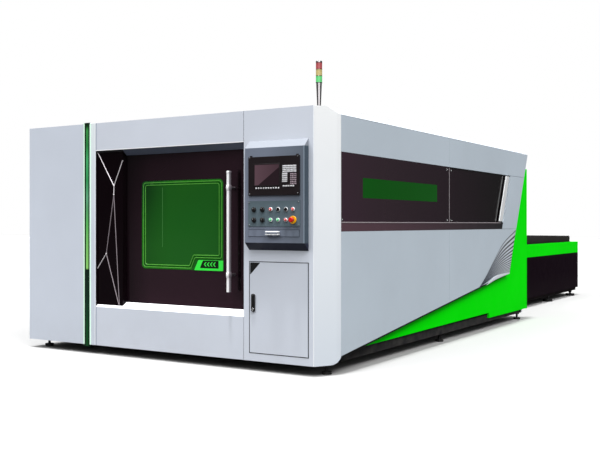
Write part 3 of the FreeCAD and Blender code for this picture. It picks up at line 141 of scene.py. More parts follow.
def finish(name, group, values, bump=0.0002, **sockets):
    """A material whose colour, roughness and bump come from one shared effect. Plain sockets are set here."""
    made = bpy.data.materials.new(name)
    made.use_nodes = True
    tree, shader = made.node_tree, made.node_tree.nodes["Principled BSDF"]
    where = step(tree, "TexCoord").outputs["Object"]
    film = step(tree, "Group", node_tree=group)
    tree.links.new(where, film.inputs["Where"])
    for key, value in values.items():
        film.inputs[key].default_value = value
    tree.links.new(film.outputs["Colour"], shader.inputs["Base Color"])
    tree.links.new(film.outputs["Roughness"], shader.inputs["Roughness"])
    relief = step(tree, "Bump", {"Height": film.outputs["Height"], "Distance": bump, "Strength": 0.6})
    tree.links.new(relief.outputs[0], shader.inputs["Normal"])
    for key, value in sockets.items():
        shader.inputs[key.replace("_", " ")].default_value = value
    return made


def painted(name, colour, roughness=0.35, peel=1.0, dust=0.3, **sockets):
    """A sprayed or moulded finish."""
    values = {"Colour": srgb(*colour), "Roughness": roughness, "Peel": peel, "Dust": dust}
    return finish(name, paint_film, values, **sockets)


def build_drawn(tree, given):
    """Streaks drawn out along one direction, over a faint cloud of handling marks."""
    long = step(tree, "Mapping", {"Vector": given["Where"], "Scale": given["Grain"]}).outputs[0]
    streak = step(tree, "TexNoise", {"Vector": long, "Scale": 40.0, "Detail": 4.0}).outputs[0]
    marks = step(tree, "TexNoise", {"Vector": given["Where"], "Scale": 14.0, "Detail": 5.0}).outputs[0]
    tone = times(tree, ramp(tree, streak, 0.3, 0.7, 0.88, 1.06), ramp(tree, marks, 0.35, 0.7, 1.0, 0.93))
    colour = step(tree, "HueSaturation", {"Color": given["Colour"], "Value": tone}).outputs[0]
    streak_dull, mark_dull = ramp(tree, streak, 0.3, 0.7, 0.0, 0.10), ramp(tree, marks, 0.4, 0.7, 0.0, 0.08)
    dull = reckon(tree, "ADD", streak_dull, mark_dull)
    return {"Colour": colour, "Roughness": reckon(tree, "ADD", given["Roughness"], dull), "Height": streak}


drawn_metal = effect(
    "drawn metal",
    [
        ("Where", "Vector", None),
        ("Colour", "Color", (0.6, 0.6, 0.6, 1.0)),
        ("Roughness", "Float", 0.3),
        ("Grain", "Vector", (1.0, 1.0, 1.0)),
    ],
    [("Colour", "Color"), ("Roughness", "Float"), ("Height", "Float")],
    build_drawn,
)


def metal(name, colour, roughness=0.3, grain=(1.0, 1.0, 1.0), **sockets):
    """A bare or plated metal, its streaks drawn out along the axis with the smallest grain."""
    values = {"Colour": srgb(*colour), "Roughness": roughness, "Grain": grain}
    return finish(name, drawn_metal, values, bump=0.00004, Metallic=1.0, **sockets)


def coat(material, *parts):
    """Gives carried-over parts their finish."""
    for part in parts:
        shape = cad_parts[part]
        if not shape.material_slots:
            shape.data.materials.append(material)
        for place in shape.material_slots:
            place.material = material


def skin(name, grid, body, material, joined="columns", sharp=40):
    """A surface through copies of a grid of points, counted copy, row, column. Each row joins the next and
    the last column joins the first. The end rows are filled, unless joined is both, which closes the
    rows too."""
    grid = np.asarray(grid, float)
    grid = grid.reshape(-1, *grid.shape[-3:])
    copies, rows, columns, _ = grid.shape
    i = np.arange(rows if joined == "both" else rows - 1)[:, None]
    j = np.arange(columns)
    here, there, after = i * columns, (i + 1) % rows * columns, (j + 1) % columns
    quads = np.stack([here + j, here + after, there + after, there + j], -1).reshape(-1, 4)
    one = grid[0].reshape(-1, 3) - grid[0].mean((0, 1))
    a, b, c, d = one[quads.T]
    volume = (a * np.cross(b, c) + a * np.cross(c, d)).sum()
    caps = np.stack([j[::-1], (rows - 1) * columns + j])[: 0 if joined == "both" else 2]
    for cap in caps:
        p = one[cap]
        volume += (p[:1] * np.cross(p[1:-1], p[2:])).sum()
    if volume < 0:
        quads, caps = quads[:, ::-1], caps[:, ::-1]
    shift = np.arange(copies)[:, None, None] * rows * columns
    faces = (quads + shift).reshape(-1, 4).tolist() + (caps + shift).reshape(-1, columns).tolist()
    mesh = bpy.data.meshes.new(name)
    mesh.from_pydata(grid.reshape(-1, 3).tolist(), [], faces)
    mesh.polygons.foreach_set("use_smooth", np.ones(len(mesh.polygons), bool))
    mesh.set_sharp_from_angle(angle=np.radians(sharp))
    mesh.materials.append(material)
    piece = bpy.data.objects.new(name, mesh)
    bpy.context.scene.collection.objects.link(piece)
    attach(piece, body)
    return piece


def disc(radius, steps):
    """A circle as points and outward directions."""
    turn = np.linspace(0, 2 * np.pi, steps, endpoint=False)
    way = np.stack([np.cos(turn), np.sin(turn)], -1)
    return radius * way, way


FACING = {
    "front": ((1, 0, 0), (0, 0, 1), (0, -1, 0)),
    "rear": ((1, 0, 0), (0, 0, 1), (0, 1, 0)),
    "right": ((0, 1, 0), (0, 0, 1), (1, 0, 0)),
    "up": ((1, 0, 0), (0, 1, 0), (0, 0, 1)),
}


def raised(centres, outline, section, facing):
    """A plate, cap or button at each centre. Each row of the section moves the outline in by its first
    number and away from the surface by its second."""
    edge, outward = outline
    inset, height = np.array(section, float).T
    flat = edge - inset[:, None, None] * outward
    across, along, out = np.array(FACING[facing], float)
    grid = flat[..., :1] * across + flat[..., 1:] * along + height[:, None, None] * out
    return np.asarray(centres, float).reshape(-1, 1, 1, 3) + grid


def points_of(part):
    """Every corner point of a part's mesh."""
    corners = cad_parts[part].data.vertices
    points = np.empty(3 * len(corners), np.float32)
    corners.foreach_get("co", points)
    return points.reshape(-1, 3).astype(float)


frame_grey = painted("frame grey paint", (26, 27, 31), 0.5, 1.4, 0.25, Specular_IOR_Level=0.15)
zinc = metal("bright zinc plate", (176, 180, 184), 0.34, (1.0, 1.0, 6.0))
foot_black = painted("foot black paint", (24, 24, 27), 0.5, 1.2, 0.15, Specular_IOR_Level=0.2)
coat(frame_grey, "frame_tubes")
coat(foot_black, "levelling_feet")
coat(zinc, "door_tracks")

foot_points = points_of("levelling_feet")
pad_points = foot_points[foot_points[:, 2] < 0.001, :2]
pad_reach, nut_foot, nut_reach, nut_height = 0.145, 0.062, 0.029, 0.016
same_pad = np.linalg.norm(pad_points[:, None] - pad_points[None], axis=2) < pad_reach
pads = [pad_points[same_pad[k]] for k in np.unique(same_pad.argmax(1))]
nut_centres = [[*(pad.min(0) + pad.max(0)) / 2, nut_foot] for pad in pads]
nut_section = [(0.008, 0.0), (0.001, 0.0), (0.0, 0.001), (0.0, nut_height - 0.001), (0.001, nut_height),
               (0.008, nut_height)]
nuts = raised(nut_centres, disc(nut_reach, 6), nut_section, "up")
skin("foot_lock_nuts", nuts, "machine", foot_black, sharp=20)

# ---- Machine bed, rails and gantry ----
# Welded box beams in dark machine enamel carry ground steel rails and racks. The gantry beam and its
# carriage run on them, and the cutting head hangs in front with a brass nozzle.


def ends(part):
    """The lowest and the highest corner of a part."""
    low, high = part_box(part)
    return np.array(low), np.array(high)


bed_enamel = painted("bed enamel", (64, 70, 78), 0.42, 1.6, 0.25)
ground_steel = metal("ground steel", (150, 154, 158), 0.25, (1.0, 0.05, 1.0))
head_alloy = metal("anodised alloy", (122, 128, 136), 0.32, (1.0, 1.0, 8.0))
coat(bed_enamel, "machine_bed", "gantry_beam", "carriage")
coat(ground_steel, "bed_rails")
coat(head_alloy, "cutting_head")

head_low, head_high = ends("cutting_head")
head_reach = 0.045
nozzle = [(head_low[0] + head_high[0]) / 2, head_low[1] + head_reach, head_low[2]]
brass = metal("nozzle brass", (200, 150, 70), 0.28)
nozzle_section = [(0.004, 0.012), (0.0, 0.012), (-0.001, 0.014), (-0.001, 0.024), (0.0, 0.026),
                  (0.004, 0.026)]
skin("nozzle_ring", raised([nozzle], disc(0.0145, 32), nozzle_section, "up"), "cutting_head", brass)
ring_heights = head_low[2] + np.array([0.125, 0.19, 0.27, 0.325])
ring_centres = [[nozzle[0], nozzle[1], z] for z in ring_heights]
band_section = [(0.004, -0.003), (-0.001, -0.003), (-0.0015, 0.0), (-0.001, 0.003), (0.004, 0.003)]
head_rings = raised(ring_centres, disc(head_reach, 40), band_section, "up")
skin("head_joint_rings", head_rings, "cutting_head", zinc)

# ---- Cover panels ----
# Folded 2.5 mm sheet, powder coated pale grey with a satin gloss and fixed to the frame. The corner cover
# is painted whiter as a painted highlight and darker towards its foot as painted shade, the roof's flat top
# is painted darker as painted shade, and the folds into the door recess carry painted shade and highlights.


def surface_of(material):
    """A finish's node tree, with X, Y and Z of the point being painted, in the part's own frame."""
    tree = material.node_tree
    return tree, *step(tree, "SeparateXYZ", {0: step(tree, "TexCoord").outputs["Object"]}).outputs


def lay_over(material, share, colour):
    """Lays another colour over a finish, by a share that changes over the surface."""
    tree = material.node_tree
    taken = tree.nodes["Principled BSDF"].inputs["Base Color"]
    tree.links.new(blend_colour(tree, share, taken.links[0].from_socket, srgb(*colour)), taken)


def beyond(tree, value, edge):
    """1 where the value is past the edge, 0 before it."""
    return ramp(tree, value, edge, edge + 0.0005)


front_grey = painted("front pale grey coat", (206, 212, 223), 0.36, 1.0, 0.10, Specular_IOR_Level=0.3)
side_grey = painted("side pale grey coat", (200, 212, 223), 0.38, 1.0, 0.12, Specular_IOR_Level=0.3)
corner_white = painted("corner white coat", (252, 254, 255), 0.32, 0.8, 0.04, Specular_IOR_Level=0.3)
roof_grey = painted("roof pale grey coat", (208, 215, 223), 0.38, 1.0, 0.08, Specular_IOR_Level=0.3)
post_grey = painted("post grey coat", (203, 210, 222), 0.36, 1.0, 0.10, Specular_IOR_Level=0.3)
bay_grey = painted("bay grey coat", (206, 212, 223), 0.36, 1.0, 0.10, Specular_IOR_Level=0.3)
coat(front_grey, "console_panel", "cabinet_door")
coat(post_grey, "front_left_panels")
coat(bay_grey, "header_and_sill_panels")
coat(side_grey, "left_and_rear_walls", "right_upper_panels", "right_lower_panels")
coat(corner_white, "corner_cover")
coat(roof_grey, "roof_panels")

face_depth, mid_height = 0.0015, 1.2
tree, x, y, z = surface_of(roof_grey)
roof_top = ends("roof_panels")[1][2]
# Painted shade: the roof's flat top is darker than its slopes.
lay_over(roof_grey, beyond(tree, z, roof_top - face_depth), (138, 144, 152))
# The corner cover's whiter coat is a painted highlight, and painted shade darkens it towards its foot.
tree, x, y, z = surface_of(corner_white)
lay_over(corner_white, ramp(tree, z, 2.1, 0.1), (220, 228, 237))

bar_low, bar_high = ends("light_bar")
bay_low, bay_high = ends("header_and_sill_panels")
pilaster_low, pilaster_high = ends("pilaster_panel")
painted_recess_shade = (20, 12, 15)
post_fold, post_return = bay_low[0] - 0.0185, bay_low[0] - 0.0045
tree, x, y, z = surface_of(post_grey)
# A painted highlight: the post right of the light bar grows paler towards the top.
lay_over(post_grey, times(tree, beyond(tree, x, bar_high[0]), ramp(tree, z, 1.1, 2.2)), (228, 236, 238))
# A painted highlight along the post's edge by the recess.
lay_over(post_grey, times(tree, beyond(tree, x, post_fold), 0.5), (238, 243, 249))
# Painted shade on the post's fold turned in to the recess.
inward = times(tree, beyond(tree, x, post_return), beyond(tree, y, bay_low[1] + face_depth))
lay_over(post_grey, inward, painted_recess_shade)

bay_points = points_of("header_and_sill_panels")
on_bay_face = (bay_points[:, 1] < bay_low[1] + 0.0005) & (bay_points[:, 2] > mid_height)
header_edge = bay_points[on_bay_face, 2].min()
tree, x, y, z = surface_of(bay_grey)
# Painted shade in the bay's corner beside the post.
lay_over(bay_grey, ramp(tree, x, bay_low[0] + 0.008, bay_low[0] + 0.014, 1.0, 0.0), (172, 180, 196))
header, sill = beyond(tree, z, mid_height), reckon(tree, "LESS_THAN", z, mid_height)
# A painted highlight along the header's lower edge.
header_highlight = ramp(tree, z, header_edge + 0.007, header_edge + 0.005)
lay_over(bay_grey, times(tree, header_highlight, header), (248, 250, 252))
# Painted shade under the header, darkest over the pilaster, and a painted highlight on the sill's slope.
behind_face = beyond(tree, y, bay_low[1] + face_depth)
over_pilaster = reckon(tree, "LESS_THAN", x, pilaster_high[0])
lay_over(bay_grey, times(tree, behind_face, header), (100, 108, 128))
lay_over(bay_grey, times(tree, behind_face, header, over_pilaster), painted_recess_shade)
lay_over(bay_grey, times(tree, behind_face, sill), (250, 251, 253))

wall_low, wall_high = ends("left_and_rear_walls")
slot_low, slot_high = ends("upper_pallet_frame")
screw_in, slot_margin, screws_up = 0.05, 0.045, 7
screw_section = [(0.006, 0.0), (0.0, 0.0), (0.0, 0.0008), (0.002, 0.0018), (0.0055, 0.0022), (0.0058, 0.0012)]
foot_screw, head_screw = wall_low[2] + screw_in, wall_high[2] - screw_in
wall_screws = np.vstack([
    np.linspace((across, wall_high[1], foot_screw), (across, wall_high[1], head_screw), screws_up)
    for across in (wall_low[0] + screw_in, slot_low[0] - slot_margin, slot_high[0] + slot_margin,
                   wall_high[0] - screw_in)
])
wall_screw_heads = raised(wall_screws, disc(0.0065, 12), screw_section, "rear")
skin("rear_wall_screws", wall_screw_heads, "machine", zinc)

# ---- Green skirt ----
# One set-back folded sheet in a strong green gloss coat. It shows as a wedge under the side panels and as a
# tall fin behind them, and the exchange table's top rail has the same coat.

signal_green = painted("signal green coat", (1, 244, 3), 0.45, 0.9, 0.0, Specular_IOR_Level=0.02)
coat(signal_green, "green_skirt", "table_side_rails")

# ---- Corner fold curl ----
# A thin embossed trim sheet on the rear lower panel, where its slanted edge meets the skirt. Ribs fan out
# from its foot to the slanted edge, and a white crescent closes it below. It is bonded to the panel.

side_low, side_high = ends("right_lower_panels")
face_x, panel_top = side_high[0], side_high[2]


def side_point(points):
    """Places on the right panels' face, in metres back from their front edge and below their top."""
    back, down = np.array(points, float).T
    return np.column_stack([np.full(len(back), face_x), side_low[1] + back, panel_top - down])


def bent(points, count):
    """A smooth line through the given points: each stretch is a cubic whose end slopes follow its
    neighbours."""
    p = np.vstack([2 * points[0] - points[1], points, 2 * points[-1] - points[-2]])
    u = np.linspace(0, len(points) - 1 - 1e-9, count)
    k, t = u.astype(int), (u % 1)[:, None]
    a, b, c, d = (p[k + n] for n in range(4))
    return b + t * (c - a) / 2 + t**2 * (a - 2.5 * b + 2 * c - d / 2) + t**3 * (1.5 * (b - c) + (d - a) / 2)


def sheet_between(top, foot, rows, lift):
    """A sheet stretched between two lines: each row is a share of the way from the first line to the
    second. It stands off the panel by lift, worked out from that share and the share along the line."""
    share = np.linspace(0, 1, rows)[:, None, None]
    length = np.linspace(0, 1, len(top))[None, :, None]
    flat = top * (1 - share) + foot * share
    return flat + lift(share, length) * np.array([1.0, 0.0, 0.0])


def open_sheet(name, grid, body, material, thick):
    """A skin over one open grid of points, thickened by Solidify. Each point keeps its share of the way
    down the rows and its share along the row, for the finish to read."""
    rows, columns, _ = grid.shape
    i, j = np.arange(rows - 1)[:, None] * columns, np.arange(columns - 1)
    quads = np.stack([i + j, i + j + 1, i + columns + j + 1, i + columns + j], -1).reshape(-1, 4)
    mesh = bpy.data.meshes.new(name)
    mesh.from_pydata(grid.reshape(-1, 3).tolist(), [], quads.tolist())
    mesh.update()
    row_share = np.repeat(np.linspace(0, 1, rows), columns)
    column_share = np.tile(np.linspace(0, 1, columns), rows)
    for label, values in (("share", row_share), ("length", column_share)):
        mesh.attributes.new(label, "FLOAT", "POINT").data.foreach_set("value", values.astype(np.float32))
    if mesh.polygons[0].normal.x < 0:
        mesh.flip_normals()
    mesh.polygons.foreach_set("use_smooth", np.ones(len(mesh.polygons), bool))
    mesh.materials.append(material)
    piece = bpy.data.objects.new(name, mesh)
    bpy.context.scene.collection.objects.link(piece)
    wall = piece.modifiers.new("sheet", "SOLIDIFY")
    wall.thickness, wall.offset = thick, -1.0
    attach(piece, body)
    return piece


curl_top_points = [(4.254, 0.013), (3.823, 0.154), (3.55, 0.309), (3.262, 0.495), (3.03, 0.622)]
curl_top = bent(side_point(curl_top_points), 60)
curl_foot_points = [(4.03, 0.505), (3.80, 0.507), (3.52, 0.522), (3.33, 0.562), (3.03, 0.626)]
curl_foot = bent(side_point(curl_foot_points), 60)
rib_reach, rib_ratio = 0.833, 0.88


def curl_relief(share, length):
    """Ribs across the sheet: a rounded ridge wherever the log of 1 - rib_reach * share, to the base
    rib_ratio, is a whole number. So the ribs close up towards the lower line, and they fade out towards
    the foot."""
    ridge = (0.5 + 0.5 * np.cos(2 * np.pi * np.log(1 - rib_reach * share) / np.log(rib_ratio))) ** 3
    return 0.0008 + 0.0020 * ridge * (1 - length) ** 0.5


curl_coat = painted("curl trim coat", (214, 222, 230), 0.34, 0.6, 0.0, Specular_IOR_Level=0.3)
tree = curl_coat.node_tree
share = step(tree, "Attribute", attribute_name="share").outputs["Fac"]
length = step(tree, "Attribute", attribute_name="length").outputs["Fac"]
rib_count = reckon(tree, "LOGARITHM", reckon(tree, "SUBTRACT", 1.0, times(tree, share, rib_reach)), rib_ratio)
past_rib = reckon(tree, "MODULO", reckon(tree, "ADD", rib_count, 0.5), 1.0)
off_rib = reckon(tree, "ABSOLUTE", reckon(tree, "SUBTRACT", past_rib, 0.5))
lay_over(curl_coat, ramp(tree, length, 0.15, 0.85, 0.0, 0.9), (58, 66, 84))
lay_over(curl_coat, ramp(tree, off_rib, 0.14, 0.26, 1.0, 0.0), (24, 28, 40))
curl = sheet_between(curl_top, curl_foot, 161, curl_relief)
open_sheet("corner_fold_curl", curl, "machine", curl_coat, 0.0006)

crescent_low_points = [(4.03, 0.520), (3.80, 0.540), (3.55, 0.566), (3.38, 0.590), (3.24, 0.610)]
crescent_low = bent(side_point(crescent_low_points), 50)
crescent_top_points = [(4.03, 0.508), (3.80, 0.510), (3.54, 0.524), (3.38, 0.566), (3.24, 0.609)]
crescent_top = bent(side_point(crescent_top_points), 50)
crescent = sheet_between(crescent_top, crescent_low, 9, lambda share, length: 0.003)
open_sheet("curl_crescent", crescent, "machine", corner_white, 0.0010)

# ---- Window band of the right side ----
# Dark tinted sheets stand over a slim dark rail. The front sheet is fixed and frames a green window; the
# rear one slides as a door and has a flat white handle. Domed bolts hold the sheets at their corners.


def build_glass_film(tree, given):
    """A faint drift of tone and wiped smears that only change the gloss."""
    drift = step(tree, "TexNoise", {"Vector": given["Where"], "Scale": 0.9, "Detail": 2.0}).outputs[0]
    wiped = step(tree, "Mapping", {"Vector": given["Where"], "Scale": (1.0, 1.0, 0.25)}).outputs[0]
    smear = step(tree, "TexNoise", {"Vector": wiped, "Scale": 16.0, "Detail": 5.0}).outputs[0]
    share = times(tree, ramp(tree, drift, 0.35, 0.65), given["Drift"])
    colour = blend_colour(tree, share, given["Colour"], given["Second colour"])
    roughness = reckon(tree, "ADD", given["Roughness"], ramp(tree, smear, 0.4, 0.75, 0.0, 0.07))
    return {"Colour": colour, "Roughness": roughness, "Height": smear}


glass_film = effect(
    "glass film",
    [
        ("Where", "Vector", None),
        ("Colour", "Color", (0.1, 0.1, 0.1, 1.0)),
        ("Second colour", "Color", (0.1, 0.1, 0.1, 1.0)),
        ("Roughness", "Float", 0.06),
        ("Drift", "Float", 0.6),
    ],
    [("Colour", "Color"), ("Roughness", "Float"), ("Height", "Float")],
    build_glass_film,
)


def tinted(name, colour, second, roughness=0.06, **sockets):
    """A glossy tinted sheet whose tone drifts between two colours."""
    values = {"Colour": srgb(*colour), "Second colour": srgb(*second), "Roughness": roughness}
    return finish(name, glass_film, values, bump=0.00002, **sockets)


band_glass = tinted("dark band glass", (56, 42, 50), (60, 40, 54), 0.09, Specular_IOR_Level=0.2)
green_glass = tinted("green side glass", (10, 86, 16), (12, 96, 24), 0.10, Specular_IOR_Level=0.15)
rail_coat = painted("dark rail coat", (92, 66, 76), 0.38, 1.0, 0.0, Specular_IOR_Level=0.25)
band_low, band_high = ends("side_fixed_glass")
leaf_low, leaf_high = ends("side_door_leaf")
trim_low, trim_high = ends("side_rail_trim")
# Painted shade: the band's sheets and its rail darken towards the rear.
for band_coat, rear_shade_colour in ((band_glass, (8, 3, 6)), (rail_coat, (34, 34, 38))):
    tree, x, y, z = surface_of(band_coat)
    lay_over(band_coat, ramp(tree, y, band_low[1], leaf_high[1] - 0.4), rear_shade_colour)
white_enamel = painted("white enamel", (236, 238, 240), 0.28, 0.5, 0.05, Coat_Weight=0.3,
                       Coat_Roughness=0.1)
coat(band_glass, "side_fixed_glass", "side_door_leaf")
coat(green_glass, "side_green_window")
coat(rail_coat, "side_rail_trim")
coat(white_enamel, "side_door_handle")

chrome = metal("polished chrome", (214, 216, 218), 0.12, (1.0, 1.0, 0.2))
bolt_head = disc(0.013, 20)
bolt_section = [(0.010, 0.0), (0.0, 0.0), (0.0, 0.0015), (0.0025, 0.0032), (0.0065, 0.0034), (0.0075, 0.0015)]
low_bolt, high_bolt, bolt_in = band_low[2] + 0.018, band_high[2] - 0.028, 0.066
fixed_bolts = [(band_high[0], band_high[1] - bolt_in, z) for z in (low_bolt, high_bolt)]
fixed_bolts += [(band_high[0], band_low[1] + 0.012, low_bolt)]
leaf_bolts = [(leaf_high[0], leaf_low[1] + bolt_in, z) for z in (low_bolt, high_bolt)]
skin("band_bolts", raised(fixed_bolts, bolt_head, bolt_section, "right"), "machine", chrome)
skin("leaf_bolts", raised(leaf_bolts, bolt_head, bolt_section, "right"), "side_door", chrome)


def carried(path, profile, out, closed=False):
    """A profile carried along a path with mitred corners. Its first number goes sideways, along the cross
    product of the path's direction and out, and its second goes along out."""
    path, out = np.asarray(path, float), np.asarray(out, float)
    ahead = np.roll(path, -1, 0) - path if closed else np.diff(path, axis=0)
    ahead = ahead / np.linalg.norm(ahead, axis=1, keepdims=True)
    before = np.roll(ahead, 1, 0) if closed else np.vstack([ahead[:1], ahead])
    after = ahead if closed else np.vstack([ahead, ahead[-1:]])
    side_before, side_after = np.cross(before, out), np.cross(after, out)
    both = side_before + side_after
    mitre = 2 * both / (both**2).sum(1, keepdims=True)
    sideways, upward = np.array(profile, float).T
    return path[:, None] + sideways[:, None] * mitre[:, None] + upward[:, None] * out


half_round = [(0.004, 0.0), (0.0035, 0.0018), (0.0015, 0.003), (-0.0015, 0.003), (-0.0035, 0.0018),
              (-0.004, 0.0)]
pale_bead = painted("pale bead", (160, 152, 156), 0.3, 0.3, 0.0)
bead_z = trim_high[2] - 0.006
# A painted highlight: the pale bead along the rail's top edge.
bead_path = [(trim_high[0], trim_low[1] + 0.002, bead_z), (trim_high[0], trim_high[1] - 0.075, bead_z)]
skin("rail_highlight_bead", carried(bead_path, half_round, (1, 0, 0)), "machine", pale_bead)
seam_path = [(band_high[0], band_high[1] - 0.005, z) for z in (band_low[2] + 0.001, band_high[2] - 0.012)]
skin("band_seam_bead", carried(seam_path, half_round, (1, 0, 0)), "machine", pale_bead)

gasket_and_hem_shadow = painted("black rubber gasket", (14, 13, 14), 0.6, 1.6, 0.05, Specular_IOR_Level=0.2)
gasket_in, leaf_slant = 0.012, 0.289
gasket_strip = [(0.007, -0.004), (0.007, 0.0012), (-0.007, 0.0012), (-0.007, -0.004)]
gasket_path = [(leaf_high[0], leaf_high[1] - leaf_slant - gasket_in, trim_high[2] + 0.002),
               (leaf_high[0], leaf_high[1] - 0.010 - gasket_in, leaf_high[2] - 0.004)]
leaf_gasket = carried(gasket_path, gasket_strip, (1, 0, 0))
skin("leaf_end_gasket", leaf_gasket, "side_door", gasket_and_hem_shadow)

# ---- Seam beads and door seal ----
# A white bead closes the seam beside the corner, painted bright as a highlight, and a black strip under the
# slanted hem of the side panels is a painted shadow. A thin rubber seal is bonded round the opening of the
# cabinet door.

hem_slope = 0.1155
lower_points = points_of("right_lower_panels")
over_slope = lower_points[:, 2] - hem_slope * lower_points[:, 1]
hem_points = lower_points[over_slope < over_slope.min() + 0.002]
hem_path = hem_points[[hem_points[:, 1].argmin(), hem_points[:, 1].argmax()]]
hem_path[:, 0] = face_x
# A painted shadow: a black strip just under the hem of the side panels.
hem_shadow_profile = [(0.007, -0.004), (0.007, 0.0), (-0.007, 0.0), (-0.007, -0.004)]
skin("hem_shadow_strip", carried(hem_path - (0, 0, 0.005), hem_shadow_profile, (1, 0, 0)), "machine", gasket_and_hem_shadow)

# A painted highlight: the white bead lies in the seam beside the corner.
highlight_bead = painted("white bead", (240, 245, 250), 0.32, 0.4, 0.0)
corner_low, corner_high = ends("corner_cover")
seam_x = (ends("console_panel")[1][0] + corner_low[0]) / 2
seam_path = [(seam_x, corner_low[1] + 0.0012, z) for z in (corner_low[2] + 0.002, corner_high[2] - 0.002)]
skin("corner_seam_highlight", carried(seam_path, half_round, (0, -1, 0)), "machine", highlight_bead)

shut_low, shut_high = ends("cabinet_door")
hinge_side = shut_high[0] + 0.0040
opening = [(x, shut_low[1], z) for x, z in ((shut_low[0], shut_low[2]), (hinge_side, shut_low[2]),
                                            (hinge_side, shut_high[2]), (shut_low[0], shut_high[2]))]
seal_strip = [(0.0060, 0.0), (0.0060, 0.0008), (0.0010, 0.0008), (0.0010, 0.0)]
door_seal = carried(opening, seal_strip, (0, -1, 0), True)
skin("cabinet_door_seal", door_seal, "machine", gasket_and_hem_shadow, joined="both")

# ---- Light bar ----
# A glossy dark green cover over a strip of lamps. A half-round lens stands along its middle, lit from the
# top down to a third of its height. A mint edge strip runs down each side, the right one on the post beside
# the bar.

bar_cover = tinted("light bar cover", (3, 26, 14), (4, 44, 22), 0.12, Specular_IOR_Level=0.35)
tree, x, y, z = surface_of(bar_cover)
above_post = times(tree, beyond(tree, z, bay_high[2]), beyond(tree, y, bar_low[1] + 0.008))
lay_over(bar_cover, above_post, (236, 241, 244))
coat(bar_cover, "light_bar")

bar_middle, bar_front = (bar_low[0] + bar_high[0]) / 2, bar_low[1]
lens_glow = painted("lit lamp lens", (6, 30, 14), 0.2, 0.3, 0.0, Specular_IOR_Level=0.3)
tree, x, y, z = surface_of(lens_glow)
glow = step(tree, "ValToRGB", {0: ramp(tree, z, bar_low[2], bar_high[2])})
glow_up_the_bar = [
    (0.0, (16, 74, 32)), (0.08, (16, 74, 32)), (0.20, (12, 42, 30)), (0.33, (4, 10, 12)),
    (0.344, (6, 14, 14)), (0.350, (168, 240, 130)), (0.47, (140, 226, 120)), (0.545, (110, 214, 110)),
    (0.62, (104, 184, 124)), (0.66, (118, 196, 150)), (0.74, (66, 176, 104)), (0.83, (84, 200, 124)),
    (0.90, (52, 150, 76)), (0.965, (68, 168, 82)), (0.985, (10, 50, 14)), (1.0, (3, 14, 5)),
]
scale = glow.color_ramp
for end in (0, -1):
    place, colour = glow_up_the_bar[end]
    scale.elements[end].position, scale.elements[end].color = place, srgb(*colour)
for place, colour in glow_up_the_bar[1:-1]:
    scale.elements.new(place).color = srgb(*colour)
left_fade = ramp(tree, x, bar_middle - 0.003, bar_middle + 0.005, 0.10, 1.0)
right_fade = ramp(tree, x, bar_middle + 0.014, bar_middle + 0.019, 1.0, 0.40)
dimmed = step(tree, "HueSaturation", {"Color": glow.outputs[0], "Value": times(tree, left_fade, right_fade)})
shader = tree.nodes["Principled BSDF"]
tree.links.new(dimmed.outputs[0], shader.inputs["Emission Color"])
shader.inputs["Emission Strength"].default_value = 0.85

arc = np.radians(np.linspace(0, 180, 13))
lens_profile = np.column_stack([0.021 * np.cos(arc), 0.004 * np.sin(arc)])
lens_path = [(bar_middle + 0.007, bar_front, z) for z in (bar_low[2] + 0.008, bar_high[2] - 0.008)]
skin("light_bar_lens", carried(lens_path, lens_profile, (0, -1, 0)), "machine", lens_glow)

mint_edge = painted("mint edge strip", (220, 250, 230), 0.25, 0.4, 0.0, Emission_Color=srgb(200, 244, 212),
                    Emission_Strength=0.22)
strip_profile = [(0.0055, -0.003), (0.0055, 0.0015), (0.0045, 0.003), (-0.0045, 0.003), (-0.0055, 0.0015),
                 (-0.0055, -0.003)]
strip_places = (
    (bar_low[0] + 0.0060, bar_front, bar_high[2] - 0.001),
    (bar_high[0] + 0.0085, bar_front + 0.002, bay_high[2] - 0.001),
)
strips = np.stack([
    carried([(across, front, bar_low[2] + 0.021), (across, front, top)], strip_profile, (0, -1, 0))
    for across, front, top in strip_places
])
skin("light_bar_edges", strips, "machine", mint_edge)

# ---- Pilaster ----
# A dark gloss panel stands back left of the door. Thin silver ridges run over it in two branching figures,
# folded from strip and bonded on, with a round stud where they meet. The ridges are lit and shaded copies
# of one silver: those that face the light are painted bright, the others painted in shade.

dark_gloss = tinted("dark gloss panel", (8, 2, 5), (12, 4, 8), 0.14, Specular_IOR_Level=0.15)
coat(dark_gloss, "pilaster_panel")
cover_foot = ends("front_left_panels")[0][2]


def on_pilaster(across, up):
    """A place on the pilaster's face, in metres from its left edge and from the cover's lower edge."""
    return (pilaster_low[0] + across, pilaster_low[1], cover_foot + up)


upper_fork, upper_stem = on_pilaster(0.203, 1.431), on_pilaster(0.2015, 1.354)
middle_fork = on_pilaster(0.110, 0.826)
lit_lines = [
    (on_pilaster(0.003, 1.740), upper_fork),
    (on_pilaster(0.308, 1.656), upper_fork),
    (upper_fork, upper_stem),
    (middle_fork, on_pilaster(0.003, 0.692)),
]
shaded_lines = [
    (upper_stem, middle_fork),
    (upper_stem, on_pilaster(0.268, 0.374)),
    (middle_fork, on_pilaster(0.262, 0.374)),
]
ridge_profile = [(0.0045, 0.0), (0.0012, 0.0036), (-0.0012, 0.0036), (-0.0045, 0.0)]
